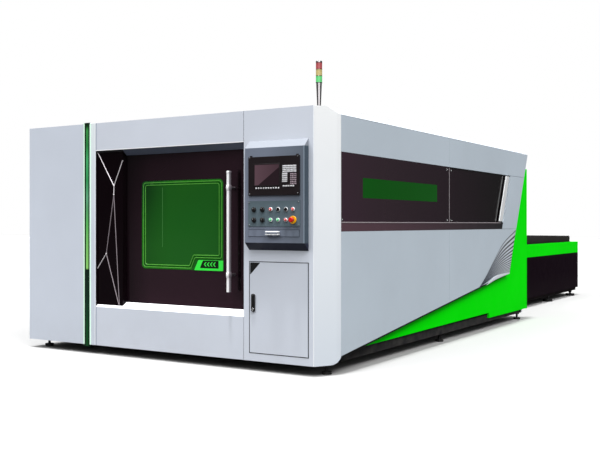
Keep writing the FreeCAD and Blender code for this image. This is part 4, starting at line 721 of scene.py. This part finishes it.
# Painted light: the lit ridges are painted bright and the shaded ones darker, copies of one silver.
lit_silver_strip = painted("lit silver strip", (226, 220, 224), 0.3, 0.4, 0.0)
shaded_silver_strip = painted("shaded silver strip", (132, 122, 128), 0.4, 0.4, 0.0)
for name, lines, strip in (("bright", lit_lines, lit_silver_strip), ("shaded", shaded_lines, shaded_silver_strip)):
    ridges = np.stack([carried(line, ridge_profile, (0, -1, 0)) for line in lines])
    skin(f"pilaster_{name}_ridges", ridges, "machine", strip, sharp=20)
stud_section = [(0.006, 0.0), (0.0, 0.0), (0.002, 0.0035), (0.0055, 0.005), (0.007, 0.005)]
studs = raised([upper_fork, upper_stem, middle_fork], disc(0.0075, 10), stud_section, "front")
skin("pilaster_ridge_joints", studs, "machine", lit_silver_strip)

# ---- Front door leaf and window ----
# The sliding leaf is dark gloss sheet round a pane of green laser-safety glass. A lit green border runs
# round the pane between bright edge lines. It steps up at the lower right corner for a push plate, whose
# plain chevrons point the way the door slides.

door_gloss = tinted("dark gloss door", (36, 22, 29), (44, 26, 35), 0.12, Specular_IOR_Level=0.3)
shaded_gloss = (9, 4, 7)
door_left = ends("front_door_leaf")[0][0]
grip_low, grip_high = ends("front_door_handle")
tree, x, y, z = surface_of(door_gloss)
# Painted shade darkens the leaf towards its left edge and its upper left.
lay_over(door_gloss, ramp(tree, x, door_left + 0.30, door_left + 0.02, 0.0, 0.85), shaded_gloss)
corner_shade = times(tree, ramp(tree, x, door_left + 0.9, door_left + 0.1), ramp(tree, z, 1.2, 1.75))
lay_over(door_gloss, times(tree, corner_shade, 0.7), shaded_gloss)
# A painted shadow of the handle, to its right.
grip_shadow_across = times(tree, ramp(tree, x, grip_high[0] + 0.006, grip_high[0] + 0.016),
                    ramp(tree, x, grip_high[0] + 0.052, grip_high[0] + 0.040))
grip_shadow_along = times(tree, ramp(tree, z, grip_low[2] - 0.01, grip_low[2] + 0.02),
                   ramp(tree, z, grip_high[2] + 0.02, grip_high[2] - 0.01))
lay_over(door_gloss, times(tree, grip_shadow_across, grip_shadow_along, 0.85), (6, 2, 4))
coat(door_gloss, "front_door_leaf")

pane_low, pane_high = ends("front_door_window")
pane_middle = (pane_low + pane_high) / 2
wide, tall = pane_high[0] - pane_low[0], pane_high[2] - pane_low[2]
pane_glass = tinted("laser safety glass", (28, 92, 24), (22, 84, 28), 0.08, Specular_IOR_Level=0.3)
tree, x, y, z = surface_of(pane_glass)
# Painted shade darkens the pane towards its upper left.
upper_left_shade = times(tree, ramp(tree, x, pane_low[0] + 0.05, pane_low[0] + 0.30, 0.75, 0.0),
                   ramp(tree, z, pane_low[2] + 0.2, pane_high[2] - 0.1, 0.35, 1.0))
lay_over(pane_glass, upper_left_shade, (8, 40, 16))
coat(pane_glass, "front_door_window")


def smooth_corners(points, radius, steps=7):
    """A closed outline with each corner rounded: a curve from a point before the corner to one after it,
    drawn towards the corner by the square of how near its middle it is."""
    p = np.asarray(points, float)
    before, after = np.roll(p, 1, 0) - p, np.roll(p, -1, 0) - p
    before_length, after_length = (np.linalg.norm(v, axis=1, keepdims=True) for v in (before, after))
    radii = np.broadcast_to(radius, len(p))[:, None]
    reach = np.minimum(radii, 0.45 * np.minimum(before_length, after_length))
    start, end = p + before / before_length * reach, p + after / after_length * reach
    t = np.linspace(0, 1, steps)[None, :, None]
    curve = (1 - t) ** 2 * start[:, None] + 2 * t * (1 - t) * p[:, None] + t**2 * end[:, None]
    return curve.reshape(-1, p.shape[1])


def on_pane(points):
    """Places on the pane's face, in metres in from its left side and up from its lower side."""
    across, up = np.array(points, float).T
    return np.column_stack([pane_low[0] + across, np.full(len(across), pane_low[1]), pane_low[2] + up])


def border_line(inset, notch, radius):
    """The border's outline at an inset, in metres: a rounded rectangle with a step up to the notch's
    height."""
    left, right, low, high = inset, wide - inset, 0.85 * inset, tall - 0.85 * inset
    foot, slope = 0.562 - 0.7 * inset, 0.043
    points = [(left, low), (foot, low), (foot + slope, notch), (right, notch), (right, high), (left, high)]
    return smooth_corners(on_pane(points), np.array([radius, 0.010, 0.010, 0.016, radius, radius]))


outer_line = border_line(0.004, 0.092, 0.040)
middle_line = border_line(0.019, 0.106, 0.030)
inner_line = border_line(0.042, 0.127, 0.022)
line_profile = [(0.0030, 0.0), (0.0018, 0.0016), (-0.0018, 0.0016), (-0.0030, 0.0)]
line_glow = painted("bright green edge line", (84, 160, 56), 0.3, 0.2, 0.0, Emission_Color=srgb(60, 140, 40),
                    Emission_Strength=0.25)
for name, curve in (("window_line_middle", middle_line), ("window_line_inner", inner_line)):
    edge_line = carried(curve, line_profile, (0, -1, 0), True)
    skin(name, edge_line, "front_door", line_glow, joined="both")
# A painted reflection: a faint pale green line runs up the pane.
painted_reflection_line = painted("faint green painted reflection", (50, 118, 48), 0.3, 0.2, 0.0)
reflection_path = on_pane([(0.235, 0.190), (0.235, tall - 0.060)])
skin("window_reflection_line", carried(reflection_path, line_profile, (0, -1, 0)), "front_door", painted_reflection_line)


def band_between(outer, inner, lift):
    """A flat closed band whose rows are the outer edge's foot and top, and the inner edge's top and foot."""
    out = np.array([0.0, -lift, 0.0])
    return np.stack([outer, outer + out, inner + out, inner], 1)


border_glow = painted("lit green border", (14, 82, 14), 0.25, 0.3, 0.0, Specular_IOR_Level=0.3)
tree, x, y, z = surface_of(border_glow)
sideways = reckon(tree, "ABSOLUTE", reckon(tree, "SUBTRACT", x, pane_middle[0]))
upright = reckon(tree, "ABSOLUTE", reckon(tree, "SUBTRACT", z, pane_middle[2]))
near_side = ramp(tree, sideways, wide / 2 - 0.022, wide / 2 - 0.016)
near_top = ramp(tree, upright, tall / 2 - 0.019, tall / 2 - 0.014)
lay_over(border_glow, reckon(tree, "MAXIMUM", near_side, near_top), (34, 118, 26))
# Painted shade darkens the border towards its upper left.
upper_left_shade = times(tree, ramp(tree, x, pane_low[0] + 0.10, pane_low[0] + 0.45, 0.8, 0.0),
                   ramp(tree, z, pane_middle[2], pane_high[2] - 0.05, 0.0, 1.0))
lay_over(border_glow, upper_left_shade, (10, 62, 30))
border = band_between(outer_line, inner_line, 0.0006)
skin("window_lit_border", border, "front_door", border_glow, joined="both")


def plaque(points, corner, height, inset=0.0012):
    """A flat plate from an outline in metres from a corner: its edge rises, then steps in over a small
    bevel."""
    shape = np.asarray(points, float)
    middle = shape.mean(0)
    inner = middle + (shape - middle) * (1 - inset / np.linalg.norm(shape - middle, axis=1, keepdims=True))
    rows = [(inner, 0.0), (shape, 0.0), (shape, height - inset), (inner, height)]
    grid = [np.column_stack([p[:, 0], np.full(len(p), -h), p[:, 1]]) for p, h in rows]
    return np.array(grid)[None] + np.asarray(corner, float)


plate_width, plate_height = 0.308, 0.086
plate_corner = (pane_high[0] - plate_width, pane_low[1], pane_low[2])
# The push plate's green glows faintly though it is no lamp: painted light.
push_green_glow = painted("push plate green", (56, 226, 70), 0.3, 0.4, 0.0, Specular_IOR_Level=0.3,
                     Emission_Color=srgb(40, 210, 50), Emission_Strength=0.12)
dark_ink = painted("dark ink field", (10, 26, 10), 0.32, 0.3, 0.0, Specular_IOR_Level=0.3)
plate_outline = [(0.004, 0.0), (plate_width, 0.0), (plate_width, plate_height), (0.048, plate_height)]
push_plate = plaque(smooth_corners(plate_outline, 0.010), plate_corner, 0.0030)
skin("push_plate", push_plate, "front_door", push_green_glow)
field_outline = [(0.066, 0.020), (0.262, 0.020), (0.262, 0.084), (0.098, 0.084)]
plate_field = plaque(smooth_corners(field_outline, 0.004), plate_corner, 0.0038)
skin("push_plate_field", plate_field, "front_door", dark_ink)
chevron = np.array([(0.0, 0.0), (0.012, 0.0), (-0.006, 0.018), (0.012, 0.036), (0.0, 0.036), (-0.018, 0.018)])
chevrons = np.concatenate([
    plaque(chevron + (across, 0.034), plate_corner, 0.0044, 0.0004) for across in (0.126, 0.158, 0.190, 0.222)
])
skin("push_plate_chevrons", chevrons, "front_door", push_green_glow)

# ---- Door handle ----
# A long tube with a satin white coat stands on two stand-offs. A turned collar marks each one, and a turned
# cap closes the top end.

tube_radius, collar_in = 0.019, 0.138
grip_x, grip_y = (grip_low[0] + grip_high[0]) / 2, grip_low[1] + tube_radius
satin_white = painted("satin white tube", (250, 250, 252), 0.3, 0.5, 0.0)
tree, x, y, z = surface_of(satin_white)
# Painted shade darkens the tube's right side and, less, its left edge. The stand-offs behind the tube are
# darker.
lay_over(satin_white, ramp(tree, x, grip_x + 0.007, grip_x + 0.015), (104, 98, 104))
lay_over(satin_white, ramp(tree, x, grip_x - 0.015, grip_x - 0.019), (190, 186, 190))
lay_over(satin_white, beyond(tree, y, grip_y + 0.020), (58, 52, 56))
coat(satin_white, "front_door_handle")
collar_places = [(grip_x, grip_y, z) for z in (grip_low[2] + collar_in, grip_high[2] - collar_in)]
collar_section = [(0.004, -0.024), (-0.0005, -0.024), (-0.003, -0.018), (-0.0045, 0.0), (-0.003, 0.018),
                  (-0.0005, 0.024), (0.004, 0.024)]
collars = raised(collar_places, disc(tube_radius, 36), collar_section, "up")
skin("handle_collars", collars, "front_door", satin_white)
cap_section = [(0.004, -0.006), (-0.0012, -0.006), (-0.0016, -0.002), (-0.0012, 0.006), (0.002, 0.0116),
               (0.008, 0.012), (0.017, 0.0121)]
end_cap = raised([(grip_x, grip_y, grip_high[2] - 0.012)], disc(tube_radius, 36), cap_section, "up")
skin("handle_end_cap", end_cap, "front_door", satin_white)

# ---- Control console ----
# A folded sheet housing in slate grey, with a light grey top slope and a navy foot slope. A black screen
# unit is let into its face over a screwed control plate, and moulded rubber keys without legends stand
# round the screen.

slate = painted("slate console coat", (112, 120, 136), 0.34, 1.1, 0.05, Specular_IOR_Level=0.3)
housing_low, housing_high = ends("console_housing")
unit_low, unit_high = ends("screen_unit")
face_top, face_foot = unit_high[2] + 0.062, ends("keyboard_drawer")[0][2] - 0.050
tree, x, y, z = surface_of(slate)
# Painted shade: the face darkens towards the right.
lay_over(slate, ramp(tree, x, housing_low[0] + 0.2, housing_high[0] - 0.02, 0.0, 0.8), (90, 99, 110))
# A painted highlight down the front right fold.
fold_highlight = times(tree, beyond(tree, x, housing_high[0] - 0.009),
                  ramp(tree, y, housing_low[1] + 0.003, housing_low[1] + 0.002))
lay_over(slate, fold_highlight, (134, 148, 162))
# Painted shade: the right side face is darker.
lay_over(slate, beyond(tree, x, housing_high[0] - face_depth), (66, 80, 92))
lay_over(slate, beyond(tree, z, face_top), (146, 151, 160))
lay_over(slate, ramp(tree, z, face_foot, face_foot - 0.0005), (10, 18, 46))
plate_grey = painted("control plate coat", (88, 103, 111), 0.30, 0.9, 0.05, Specular_IOR_Level=0.3)
case_black = painted("screen unit black", (26, 19, 22), 0.42, 1.5, 0.0, Specular_IOR_Level=0.2)
coat(slate, "console_housing")
coat(plate_grey, "button_plate")
coat(case_black, "screen_unit")

picture = tinted("dark screen", (40, 28, 34), (34, 24, 28), 0.08, Specular_IOR_Level=0.3,
                 Emission_Strength=0.30)
screen_low, screen_high = ends("screen_glass")
tree, x, y, z = surface_of(picture)
right_share = ramp(tree, x, screen_low[0], screen_high[0])
up_share = ramp(tree, z, screen_low[2], screen_high[2])
lean = reckon(tree, "SUBTRACT", up_share, right_share)
# A painted reflection: a pale diagonal sheen across the screen's upper left, fainter to the right.
painted_reflection = times(tree, ramp(tree, lean, -0.16, -0.13), ramp(tree, right_share, 0.0, 0.9, 1.0, 0.55))
painted_reflection_colour = blend_colour(tree, painted_reflection, srgb(12, 6, 8), srgb(142, 108, 120))
tree.links.new(painted_reflection_colour, tree.nodes["Principled BSDF"].inputs["Emission Color"])
coat(picture, "screen_glass")


def grid_of(first, last, across, up, y):
    """Centres in rows and columns, from the lower left one to the upper right one."""
    x, z = np.meshgrid(np.linspace(first[0], last[0], across), np.linspace(first[1], last[1], up))
    return np.stack([x, np.full(x.shape, y), z], -1).reshape(-1, 3)


def unit_keys(first, last, across, up):
    """Key centres on the screen unit, from metres in from its left side and up from its lower side."""
    corner = unit_low[[0, 2]]
    return grid_of(corner + first, corner + last, across, up, unit_low[1])


def rim(width, height, radius, steps=4):
    """A rounded rectangle as points and outward directions: four corner centres, a quarter circle round
    each."""
    turn = np.radians(np.arange(4)[:, None] * 90 + np.linspace(0, 90, steps)).ravel()
    way = np.stack([np.cos(turn), np.sin(turn)], -1)
    signs = np.repeat([[1, 1], [-1, 1], [-1, -1], [1, -1]], steps, 0)
    return signs * (np.array([width, height]) / 2 - radius) + radius * way, way


key_section = [(-0.0002, 0.0), (0.0, 0.0018), (0.0010, 0.0030), (0.0028, 0.0033)]
rubber_white = painted("white key rubber", (236, 236, 240), 0.5, 1.4, 0.0)
rubber_rose = painted("rose grey key rubber", (168, 150, 160), 0.5, 1.4, 0.0)
letter_blocks = (
    ((0.329, 0.182), (0.443, 0.224), 10, 4),
    ((0.325, 0.106), (0.361, 0.166), 4, 5),
    ((0.331, 0.070), (0.424, 0.070), 7, 1),
)
soft_keys = unit_keys((0.076, 0.057), (0.287, 0.057), 10, 1)
letter_keys = np.vstack([unit_keys(*block) for block in letter_blocks])
number_keys = unit_keys((0.399, 0.086), (0.443, 0.162), 4, 6)
for name, centres, key_shape, rubber in (
    ("screen_soft_keys", soft_keys, rim(0.0112, 0.0112, 0.002, 3), rubber_white),
    ("screen_letter_keys", letter_keys, rim(0.0098, 0.0105, 0.0018, 3), rubber_white),
    ("screen_number_keys", number_keys, rim(0.0105, 0.0105, 0.0018, 3), rubber_rose),
):
    skin(name, raised(centres, key_shape, key_section, "front"), "machine", rubber)


def frame_round(low, high, margin, radius, profile, face_y):
    """A closed moulding on the front: a profile of (in from the outline, out from the face) rows round a
    rounded rectangle, a margin outside the box from low to high."""
    middle = (low + high) / 2
    outline = rim(high[0] - low[0] + 2 * margin, high[2] - low[2] + 2 * margin, radius, 5)
    return raised([(middle[0], face_y, middle[2])], outline, profile, "front")[0]


bezel_section = [(0.0, 0.0), (0.0, 0.0016), (0.0020, 0.0028), (0.0075, 0.0024), (0.0095, 0.0004),
                 (0.0095, 0.0)]
bezel = frame_round(screen_low, screen_high, 0.009, 0.010, bezel_section, unit_low[1])
skin("screen_bezel", bezel, "machine", case_black, joined="both")


def corner_screws(low, high, inset, radius, y):
    """Pan-head screws near the four corners of a box's front."""
    places = grid_of(low[[0, 2]] + inset, high[[0, 2]] - inset, 2, 2, y)
    section = [(0.004, -0.0002), (0.0, -0.0002), (0.0004, 0.0012), (0.0025, 0.0018), (0.0030, 0.0008),
               (0.0046, 0.0006)]
    return raised(places, disc(radius, 16), section, "front")


unit_screws = corner_screws(unit_low, unit_high, (0.014, 0.016), 0.005, unit_low[1])
skin("screen_unit_screws", unit_screws, "machine", chrome)

# ---- Buttons, switches and knobs ----
# Moulded plastic caps on spring-loaded stems. White rings collar the buttons and the switches, fluted
# skirts go round the knobs, and a yellow disc lies under the emergency stop.

red_cap = painted("red cap", (200, 22, 18), 0.25, 0.4, 0.0)
# The green caps glow faintly though they are no lamps: painted light.
green_cap_glow = painted("green cap", (70, 190, 124), 0.25, 0.4, 0.0, Emission_Color=srgb(60, 190, 110),
                    Emission_Strength=0.08)
black_cap = painted("black knob plastic", (16, 15, 17), 0.36, 1.2, 0.0)
yellow_disc = painted("yellow disc", (244, 178, 10), 0.3, 0.5, 0.0)
white_ring = painted("white ring plastic", (238, 238, 240), 0.28, 0.5, 0.0)
knobs = [f"override_knob_{number}" for number in (1, 2, 3, 4)]
coat(red_cap, "emergency_stop", "push_button_1", "push_button_2", "push_button_5")
coat(green_cap_glow, "push_button_3", "push_button_4")
coat(black_cap, *knobs, "selector_1", "selector_2")

plate_low, plate_high = ends("button_plate")
plate_y = plate_high[1] - 0.004


def face_place(part, y):
    """The middle of a control as seen from the front, at a depth of y."""
    low, high = ends(part)
    return np.array([(low[0] + high[0]) / 2, y, (low[2] + high[2]) / 2])


def collar(name, part, outline, section, material):
    """A ring on the control plate round a control."""
    ring = raised([face_place(part, plate_y)], outline, section, "front")[0]
    skin(name, ring, "machine", material, joined="both")


lens_section = [(0.0025, -0.0035), (0.0, -0.0035), (0.0, 0.0004), (0.0018, 0.0022), (0.0048, 0.0034),
                (0.0090, 0.0040)]
dot_section = [(0.0, 0.0), (0.0, 0.0006), (0.0008, 0.0010)]
ring_section = [(0.0, 0.0), (0.0, 0.0076), (0.0010, 0.0089), (0.0034, 0.0089), (0.0043, 0.0080),
                (0.0043, 0.0)]
for number, cap in ((1, red_cap), (2, red_cap), (3, green_cap_glow), (4, green_cap_glow), (5, red_cap)):
    button = f"push_button_{number}"
    place = face_place(button, ends(button)[0][1])
    skin(button + "_lens", raised([place], disc(0.0112, 28), lens_section, "front"), button, cap)
    dot = raised([place - (0, 0.0036, 0)], disc(0.0040, 16), dot_section, "front")
    skin(button + "_dot", dot, button, white_ring)
    collar(f"button_ring_{number}", button, disc(0.0157, 36), ring_section, white_ring)

switch_section = [(0.0, 0.0), (0.0, 0.0036), (0.0010, 0.0046), (0.0026, 0.0046), (0.0034, 0.0038),
                  (0.0034, 0.0)]
mark_section = [(0.0, -0.0005), (0.0, 0.0003), (0.0004, 0.0004)]
for number in (1, 2):
    switch = f"selector_{number}"
    collar(f"selector_ring_{number}", switch, disc(0.0171, 36), switch_section, white_ring)
    place = face_place(switch, ends(switch)[0][1]) + (0, 0, 0.006)
    mark = raised([place], rim(0.0022, 0.009, 0.0008, 2), mark_section, "front")
    skin(f"selector_mark_{number}", mark, switch, white_ring)

flute_count = 16
turn = np.linspace(0, 2 * np.pi, 6 * flute_count, endpoint=False)
way = disc(1.0, len(turn))[1]
fluted = (way * (0.0193 + 0.0007 * np.cos(flute_count * turn))[:, None], way)
skirt_section = [(0.004, 0.0014), (0.0, 0.0018), (0.0004, 0.0112), (0.0016, 0.0128), (0.0050, 0.0132)]
for knob in knobs:
    skirt = raised([face_place(knob, plate_y)], fluted, skirt_section, "front")
    skin(knob + "_skirt", skirt, knob, black_cap, sharp=50)
    place = face_place(knob, ends(knob)[0][1]) + (0, 0, 0.007)
    mark = raised([place], rim(0.0018, 0.009, 0.0007, 2), mark_section, "front")
    skin(knob + "_mark", mark, knob, white_ring)

stop_section = [(0.0, 0.0), (0.0, 0.0058), (0.0008, 0.0066), (0.0160, 0.0066), (0.0168, 0.0058),
                (0.0168, 0.0)]
collar("stop_disc_cover", "emergency_stop", disc(0.0305, 48), stop_section, yellow_disc)
plate_screws = corner_screws(plate_low, plate_high, 0.012, 0.0052, plate_y - 0.002)
skin("plate_screw_heads", plate_screws, "machine", chrome)

# ---- Keyboard drawer ----
# A slate drawer with a white pull of two bars bent from rod. It slides out of the console, and a black
# keyboard with blank keys lies in its tray.

coat(slate, "keyboard_drawer")
drawer_low, drawer_high = ends("keyboard_drawer")
drawer_x, drawer_z = (drawer_low[0] + drawer_high[0]) / 2, (drawer_low[2] + drawer_high[2]) / 2
drawer_face = drawer_low[1] + 0.031
pull_half, pull_out, pull_step = 0.0535, 0.0225, 0.0102


def pull(z):
    """A bar on two legs, as the middle line of a tube with mitred corners."""
    left, right = drawer_x - pull_half, drawer_x + pull_half
    foot, out = drawer_face + 0.001, drawer_face - pull_out
    return [(left, foot, z), (left, out, z), (right, out, z), (right, foot, z)]


pull_rod = disc(0.0058, 16)[0]
pulls = np.stack([carried(pull(drawer_z + up), pull_rod, (0, 0, 1)) for up in (-pull_step, pull_step)])
skin("drawer_pull_bars", pulls, "keyboard_drawer", white_enamel)

board = (drawer_x, drawer_face + 0.095, drawer_low[2] + 0.0062)
board_section = [(0.001, 0.0), (0.0, 0.001), (0.0, 0.009), (0.002, 0.011), (0.006, 0.0112)]
keyboard_base = raised([board], rim(0.396, 0.140, 0.008), board_section, "up")
skin("keyboard_base", keyboard_base, "keyboard_drawer", black_cap)
key_across, key_back = np.meshgrid(np.linspace(-0.181, 0.181, 19), np.linspace(-0.052, 0.052, 6))
keys = np.stack([key_across, key_back, np.full(key_across.shape, 0.0108)], -1).reshape(-1, 3) + board
cap_rows = [(0.0, 0.0), (0.0, 0.002), (0.0020, 0.0055), (0.0032, 0.0058)]
keyboard_keys = raised(keys, rim(0.0166, 0.0166, 0.002, 2), cap_rows, "up")
skin("keyboard_keys", keyboard_keys, "keyboard_drawer", case_black)

# ---- Cabinet door, lock and equipment ----
# The sheet door closes an electrical cabinet under the console. It has a bare black corner plate and a
# black swing lever lock with a key cylinder. Ribbed grey housings stand inside on a mounting plate.

black_plastic = painted("black lock plastic", (15, 14, 16), 0.3, 0.8, 0.05, Coat_Weight=0.2,
                        Coat_Roughness=0.15)
cabinet_grey = painted("cabinet inner grey", (176, 180, 184), 0.5, 1.2, 0.15)
coat(black_plastic, "cabinet_lock", "lock_lever")
coat(cabinet_grey, "electrical_cabinet")
housing_grey = painted("equipment housings", (60, 64, 70), 0.45, 1.2, 0.1)
tree, x, y, z = surface_of(housing_grey)
rib_pitch = 0.036
along_rib = reckon(tree, "FRACT", times(tree, x, 1 / rib_pitch))
lay_over(housing_grey, ramp(tree, reckon(tree, "SUBTRACT", along_rib, 0.5), 0.44, 0.46), (18, 18, 20))
coat(housing_grey, "cabinet_equipment")

corner_size = 0.097
corner_at = (shut_low[0] + 0.004, shut_low[1], shut_high[2] - 0.004 - corner_size)
triangle = smooth_corners([(0.0, 0.0), (corner_size, corner_size), (0.0, corner_size)], 0.004, 4)
corner_plate = plaque(triangle, corner_at, 0.0012, 0.0006)
skin("door_corner_plate", corner_plate, "cabinet_door", black_plastic)
lock_low, lock_high = ends("cabinet_lock")
cylinder_place = ((lock_low[0] + lock_high[0]) / 2, lock_low[1], lock_low[2] + 0.019)
cylinder_section = [(0.002, -0.001), (0.0, -0.001), (0.0003, 0.0018), (0.0018, 0.0030), (0.0030, 0.0031),
                    (0.0045, 0.0020), (0.0085, 0.0020)]
cylinder = raised([cylinder_place], disc(0.0108, 28), cylinder_section, "front")
skin("lock_cylinder", cylinder, "cabinet_door", chrome)
dish_section = [(0.0, -0.0115), (0.0, 0.0002), (0.0012, 0.0010), (0.0026, 0.0002), (0.0026, -0.0115)]
dish_edge = frame_round(lock_low, lock_high, 0.001, 0.013, dish_section, lock_low[1])
skin("lock_dish_edge", dish_edge, "cabinet_door", black_plastic, joined="both")

# ---- Signal tower ----
# A bright flared neck screwed to the roof carries three lamp lenses, green below amber below red. They are
# stacked between thin joint rings and closed by a bright cap.

neck_chrome = metal("tower neck chrome", (214, 210, 212), 0.14, (1.0, 1.0, 0.2))
coat(neck_chrome, "tower_neck")
lenses = {"green": (100, 206, 122), "amber": (190, 172, 112), "red": (168, 74, 78)}
for name, colour in lenses.items():
    darker = [0.8 * channel for channel in colour]
    lens = tinted(name + " lens", colour, darker, 0.18, Emission_Color=srgb(*colour), Emission_Strength=0.2,
                  Coat_Weight=0.5, Coat_Roughness=0.08)
    coat(lens, "tower_lens_" + name)
tower_middle = sum(ends("tower_neck"))[:2] / 2
joint_heights = [ends("tower_lens_" + name)[0][2] for name in lenses] + [ends("tower_lens_red")[1][2]]
joint_section = [(0.003, -0.0022), (0.0, -0.0022), (-0.0008, -0.0012), (-0.0008, 0.0012), (0.0, 0.0022),
                 (0.003, 0.0022)]
joint_places = [(*tower_middle, height) for height in joint_heights]
tower_rings = raised(joint_places, disc(0.0252, 40), joint_section, "up")
skin("tower_joint_rings", tower_rings, "machine", black_plastic)

# ---- Pallets and exchange table ----
# Each pallet is a welded tube frame that holds toothed steel slats on edge, scorched along their tips by
# cutting. The table has black sheet skirts and carries the pallets on rails outside the cover.

pallet_black = painted("pallet black paint", (16, 10, 15), 0.6, 1.5, 0.1, Specular_IOR_Level=0.04)
table_black = painted("table dark coat", (19, 6, 17), 0.55, 1.1, 0.05, Specular_IOR_Level=0.03)
coat(pallet_black, "upper_pallet_frame", "lower_pallet_frame", "table_frame")
coat(table_black, "table_side_panels")

scorched = metal("scorched slat steel", (62, 58, 60), 0.5, (0.3, 1.0, 3.0))
tree = scorched.node_tree
where = step(tree, "TexCoord").outputs["Object"]
spatter = step(tree, "TexNoise", {"Vector": where, "Scale": 55.0, "Detail": 6.0, "Roughness": 0.7}).outputs[0]
patches = step(tree, "TexNoise", {"Vector": where, "Scale": 2.6, "Detail": 3.0}).outputs[0]
burnt = reckon(tree, "MAXIMUM", ramp(tree, spatter, 0.42, 0.62), ramp(tree, patches, 0.3, 0.6))
lay_over(scorched, burnt, (34, 28, 28))
tree.links.new(ramp(tree, burnt, 0.0, 1.0, 0.85, 0.25), tree.nodes["Principled BSDF"].inputs["Metallic"])
slat_count, tooth_count, slat_thickness, tooth_depth = 52, 60, 0.004, 0.018


def toothed(part):
    """Slats on edge: stations along each slat carry its four corners, and the two upper ones rise and fall
    in a triangle wave between the valley height and the tip height."""
    low, high = ends(part)
    stations = np.linspace(low[0], high[0], 2 * tooth_count + 1)
    rise = np.where(np.arange(len(stations)) % 2, high[2], high[2] - tooth_depth)
    foot = np.full_like(rise, low[2])
    starts = np.linspace(low[1], high[1] - slat_thickness, slat_count)
    grid = np.empty((slat_count, len(stations), 4, 3))
    grid[..., 0] = stations[None, :, None]
    grid[..., 1] = starts[:, None, None] + np.array([0.0, 0.0, slat_thickness, slat_thickness])
    grid[..., 2] = np.stack([foot, rise, rise, foot], 1)
    return grid


for pallet in ("upper_pallet", "lower_pallet"):
    grid = toothed(pallet + "_slats")
    slats = skin(pallet + "_toothed_slats", grid, pallet, scorched, sharp=10)
    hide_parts(pallet + "_slats")

# ---- Studio ----
# A pale floor that meets a white backdrop without a line, a lamp overhead and a wide one on each side in
# front. Polished faces mirror a soft lamp wall. The camera stands off the front right corner.

span = 60.0
ground = bpy.data.meshes.new("studio_floor")
floor_corners = [(-span, -span, 0), (span, -span, 0), (span, span, 0), (-span, span, 0)]
ground.from_pydata(floor_corners, [], [(0, 1, 2, 3)])
pale = bpy.data.materials.new("pale floor")
pale.use_nodes = True
tree, shader = pale.node_tree, pale.node_tree.nodes["Principled BSDF"]
where = step(tree, "TexCoord").outputs["Object"]
mottle = step(tree, "TexNoise", {"Vector": where, "Scale": 0.4, "Detail": 2.0}).outputs[0]
floor_seen, floor_bounced = (0.40, 0.40, 0.40, 1.0), (0.06, 0.06, 0.06, 1.0)
tone = step(tree, "HueSaturation", {"Color": floor_seen, "Value": ramp(tree, mottle, 0.3, 0.7, 0.995, 1.0)})
seen = step(tree, "LightPath").outputs["Is Camera Ray"]
tree.links.new(blend_colour(tree, seen, floor_bounced, tone.outputs[0]), shader.inputs["Base Color"])
shader.inputs["Roughness"].default_value = 0.9
shader.inputs["Specular IOR Level"].default_value = 0.0
ground.materials.append(pale)
floor = bpy.data.objects.new("studio_floor", ground)
bpy.context.scene.collection.objects.link(floor)


def sun(name, strength, spread, azimuth, elevation):
    """A distant lamp: azimuth is degrees to the right of straight in front, elevation degrees above the
    floor."""
    made = bpy.data.lights.new(name, "SUN")
    made.energy, made.angle = strength * np.pi, np.radians(spread)
    lamp = bpy.data.objects.new(name, made)
    lamp.rotation_euler = (np.radians(90 - elevation), 0.0, np.radians(azimuth))
    bpy.context.scene.collection.objects.link(lamp)


sun("overhead lamp", 1.35, 5.0, 0.0, 84.0)
sun("left front lamp", 0.43, 30.0, -30.0, 45.0)
sun("right front lamp", 0.72, 30.0, 62.0, 50.0)

room = bpy.data.worlds.new("studio room")
bpy.context.scene.world = room
room.use_nodes = True
tree = room.node_tree
rays = step(tree, "LightPath").outputs
along_x, along_y, height = step(tree, "SeparateXYZ", {0: step(tree, "TexCoord").outputs["Object"]}).outputs
black, white = (0.0, 0.0, 0.0, 1.0), (1.0, 1.0, 1.0, 1.0)
room_light = blend_colour(tree, ramp(tree, height, 0.0, 1.0, 0.30, 0.88), black, white)
round_the_room = reckon(tree, "ARCTAN2", along_x, times(tree, along_y, -1.0))
lamp_wall = times(tree, ramp(tree, round_the_room, -0.16, -0.02), ramp(tree, round_the_room, 1.35, 1.20),
                  ramp(tree, height, 0.85, 0.70))
mirrored = blend_colour(tree, lamp_wall, (0.09, 0.09, 0.09, 1.0), (1.5, 1.5, 1.5, 1.0))
lit = blend_colour(tree, rays["Is Glossy Ray"], room_light, mirrored)
backdrop = blend_colour(tree, rays["Is Camera Ray"], lit, white)
tree.links.new(backdrop, tree.nodes["Background"].inputs["Color"])

view = bpy.data.cameras.new("view")
view.lens, view.sensor_width, view.shift_y = 52.70, 36.0, -0.0021
view.clip_end = 200.0
camera = bpy.data.objects.new("view", view)
camera.location = (4.9728, -10.2479, 1.1741)
camera.rotation_euler = (np.radians(90.0), 0.0, np.radians(31.849))
bpy.context.scene.collection.objects.link(camera)
bpy.context.scene.camera = camera
bpy.context.scene.view_settings.view_transform = "Standard"
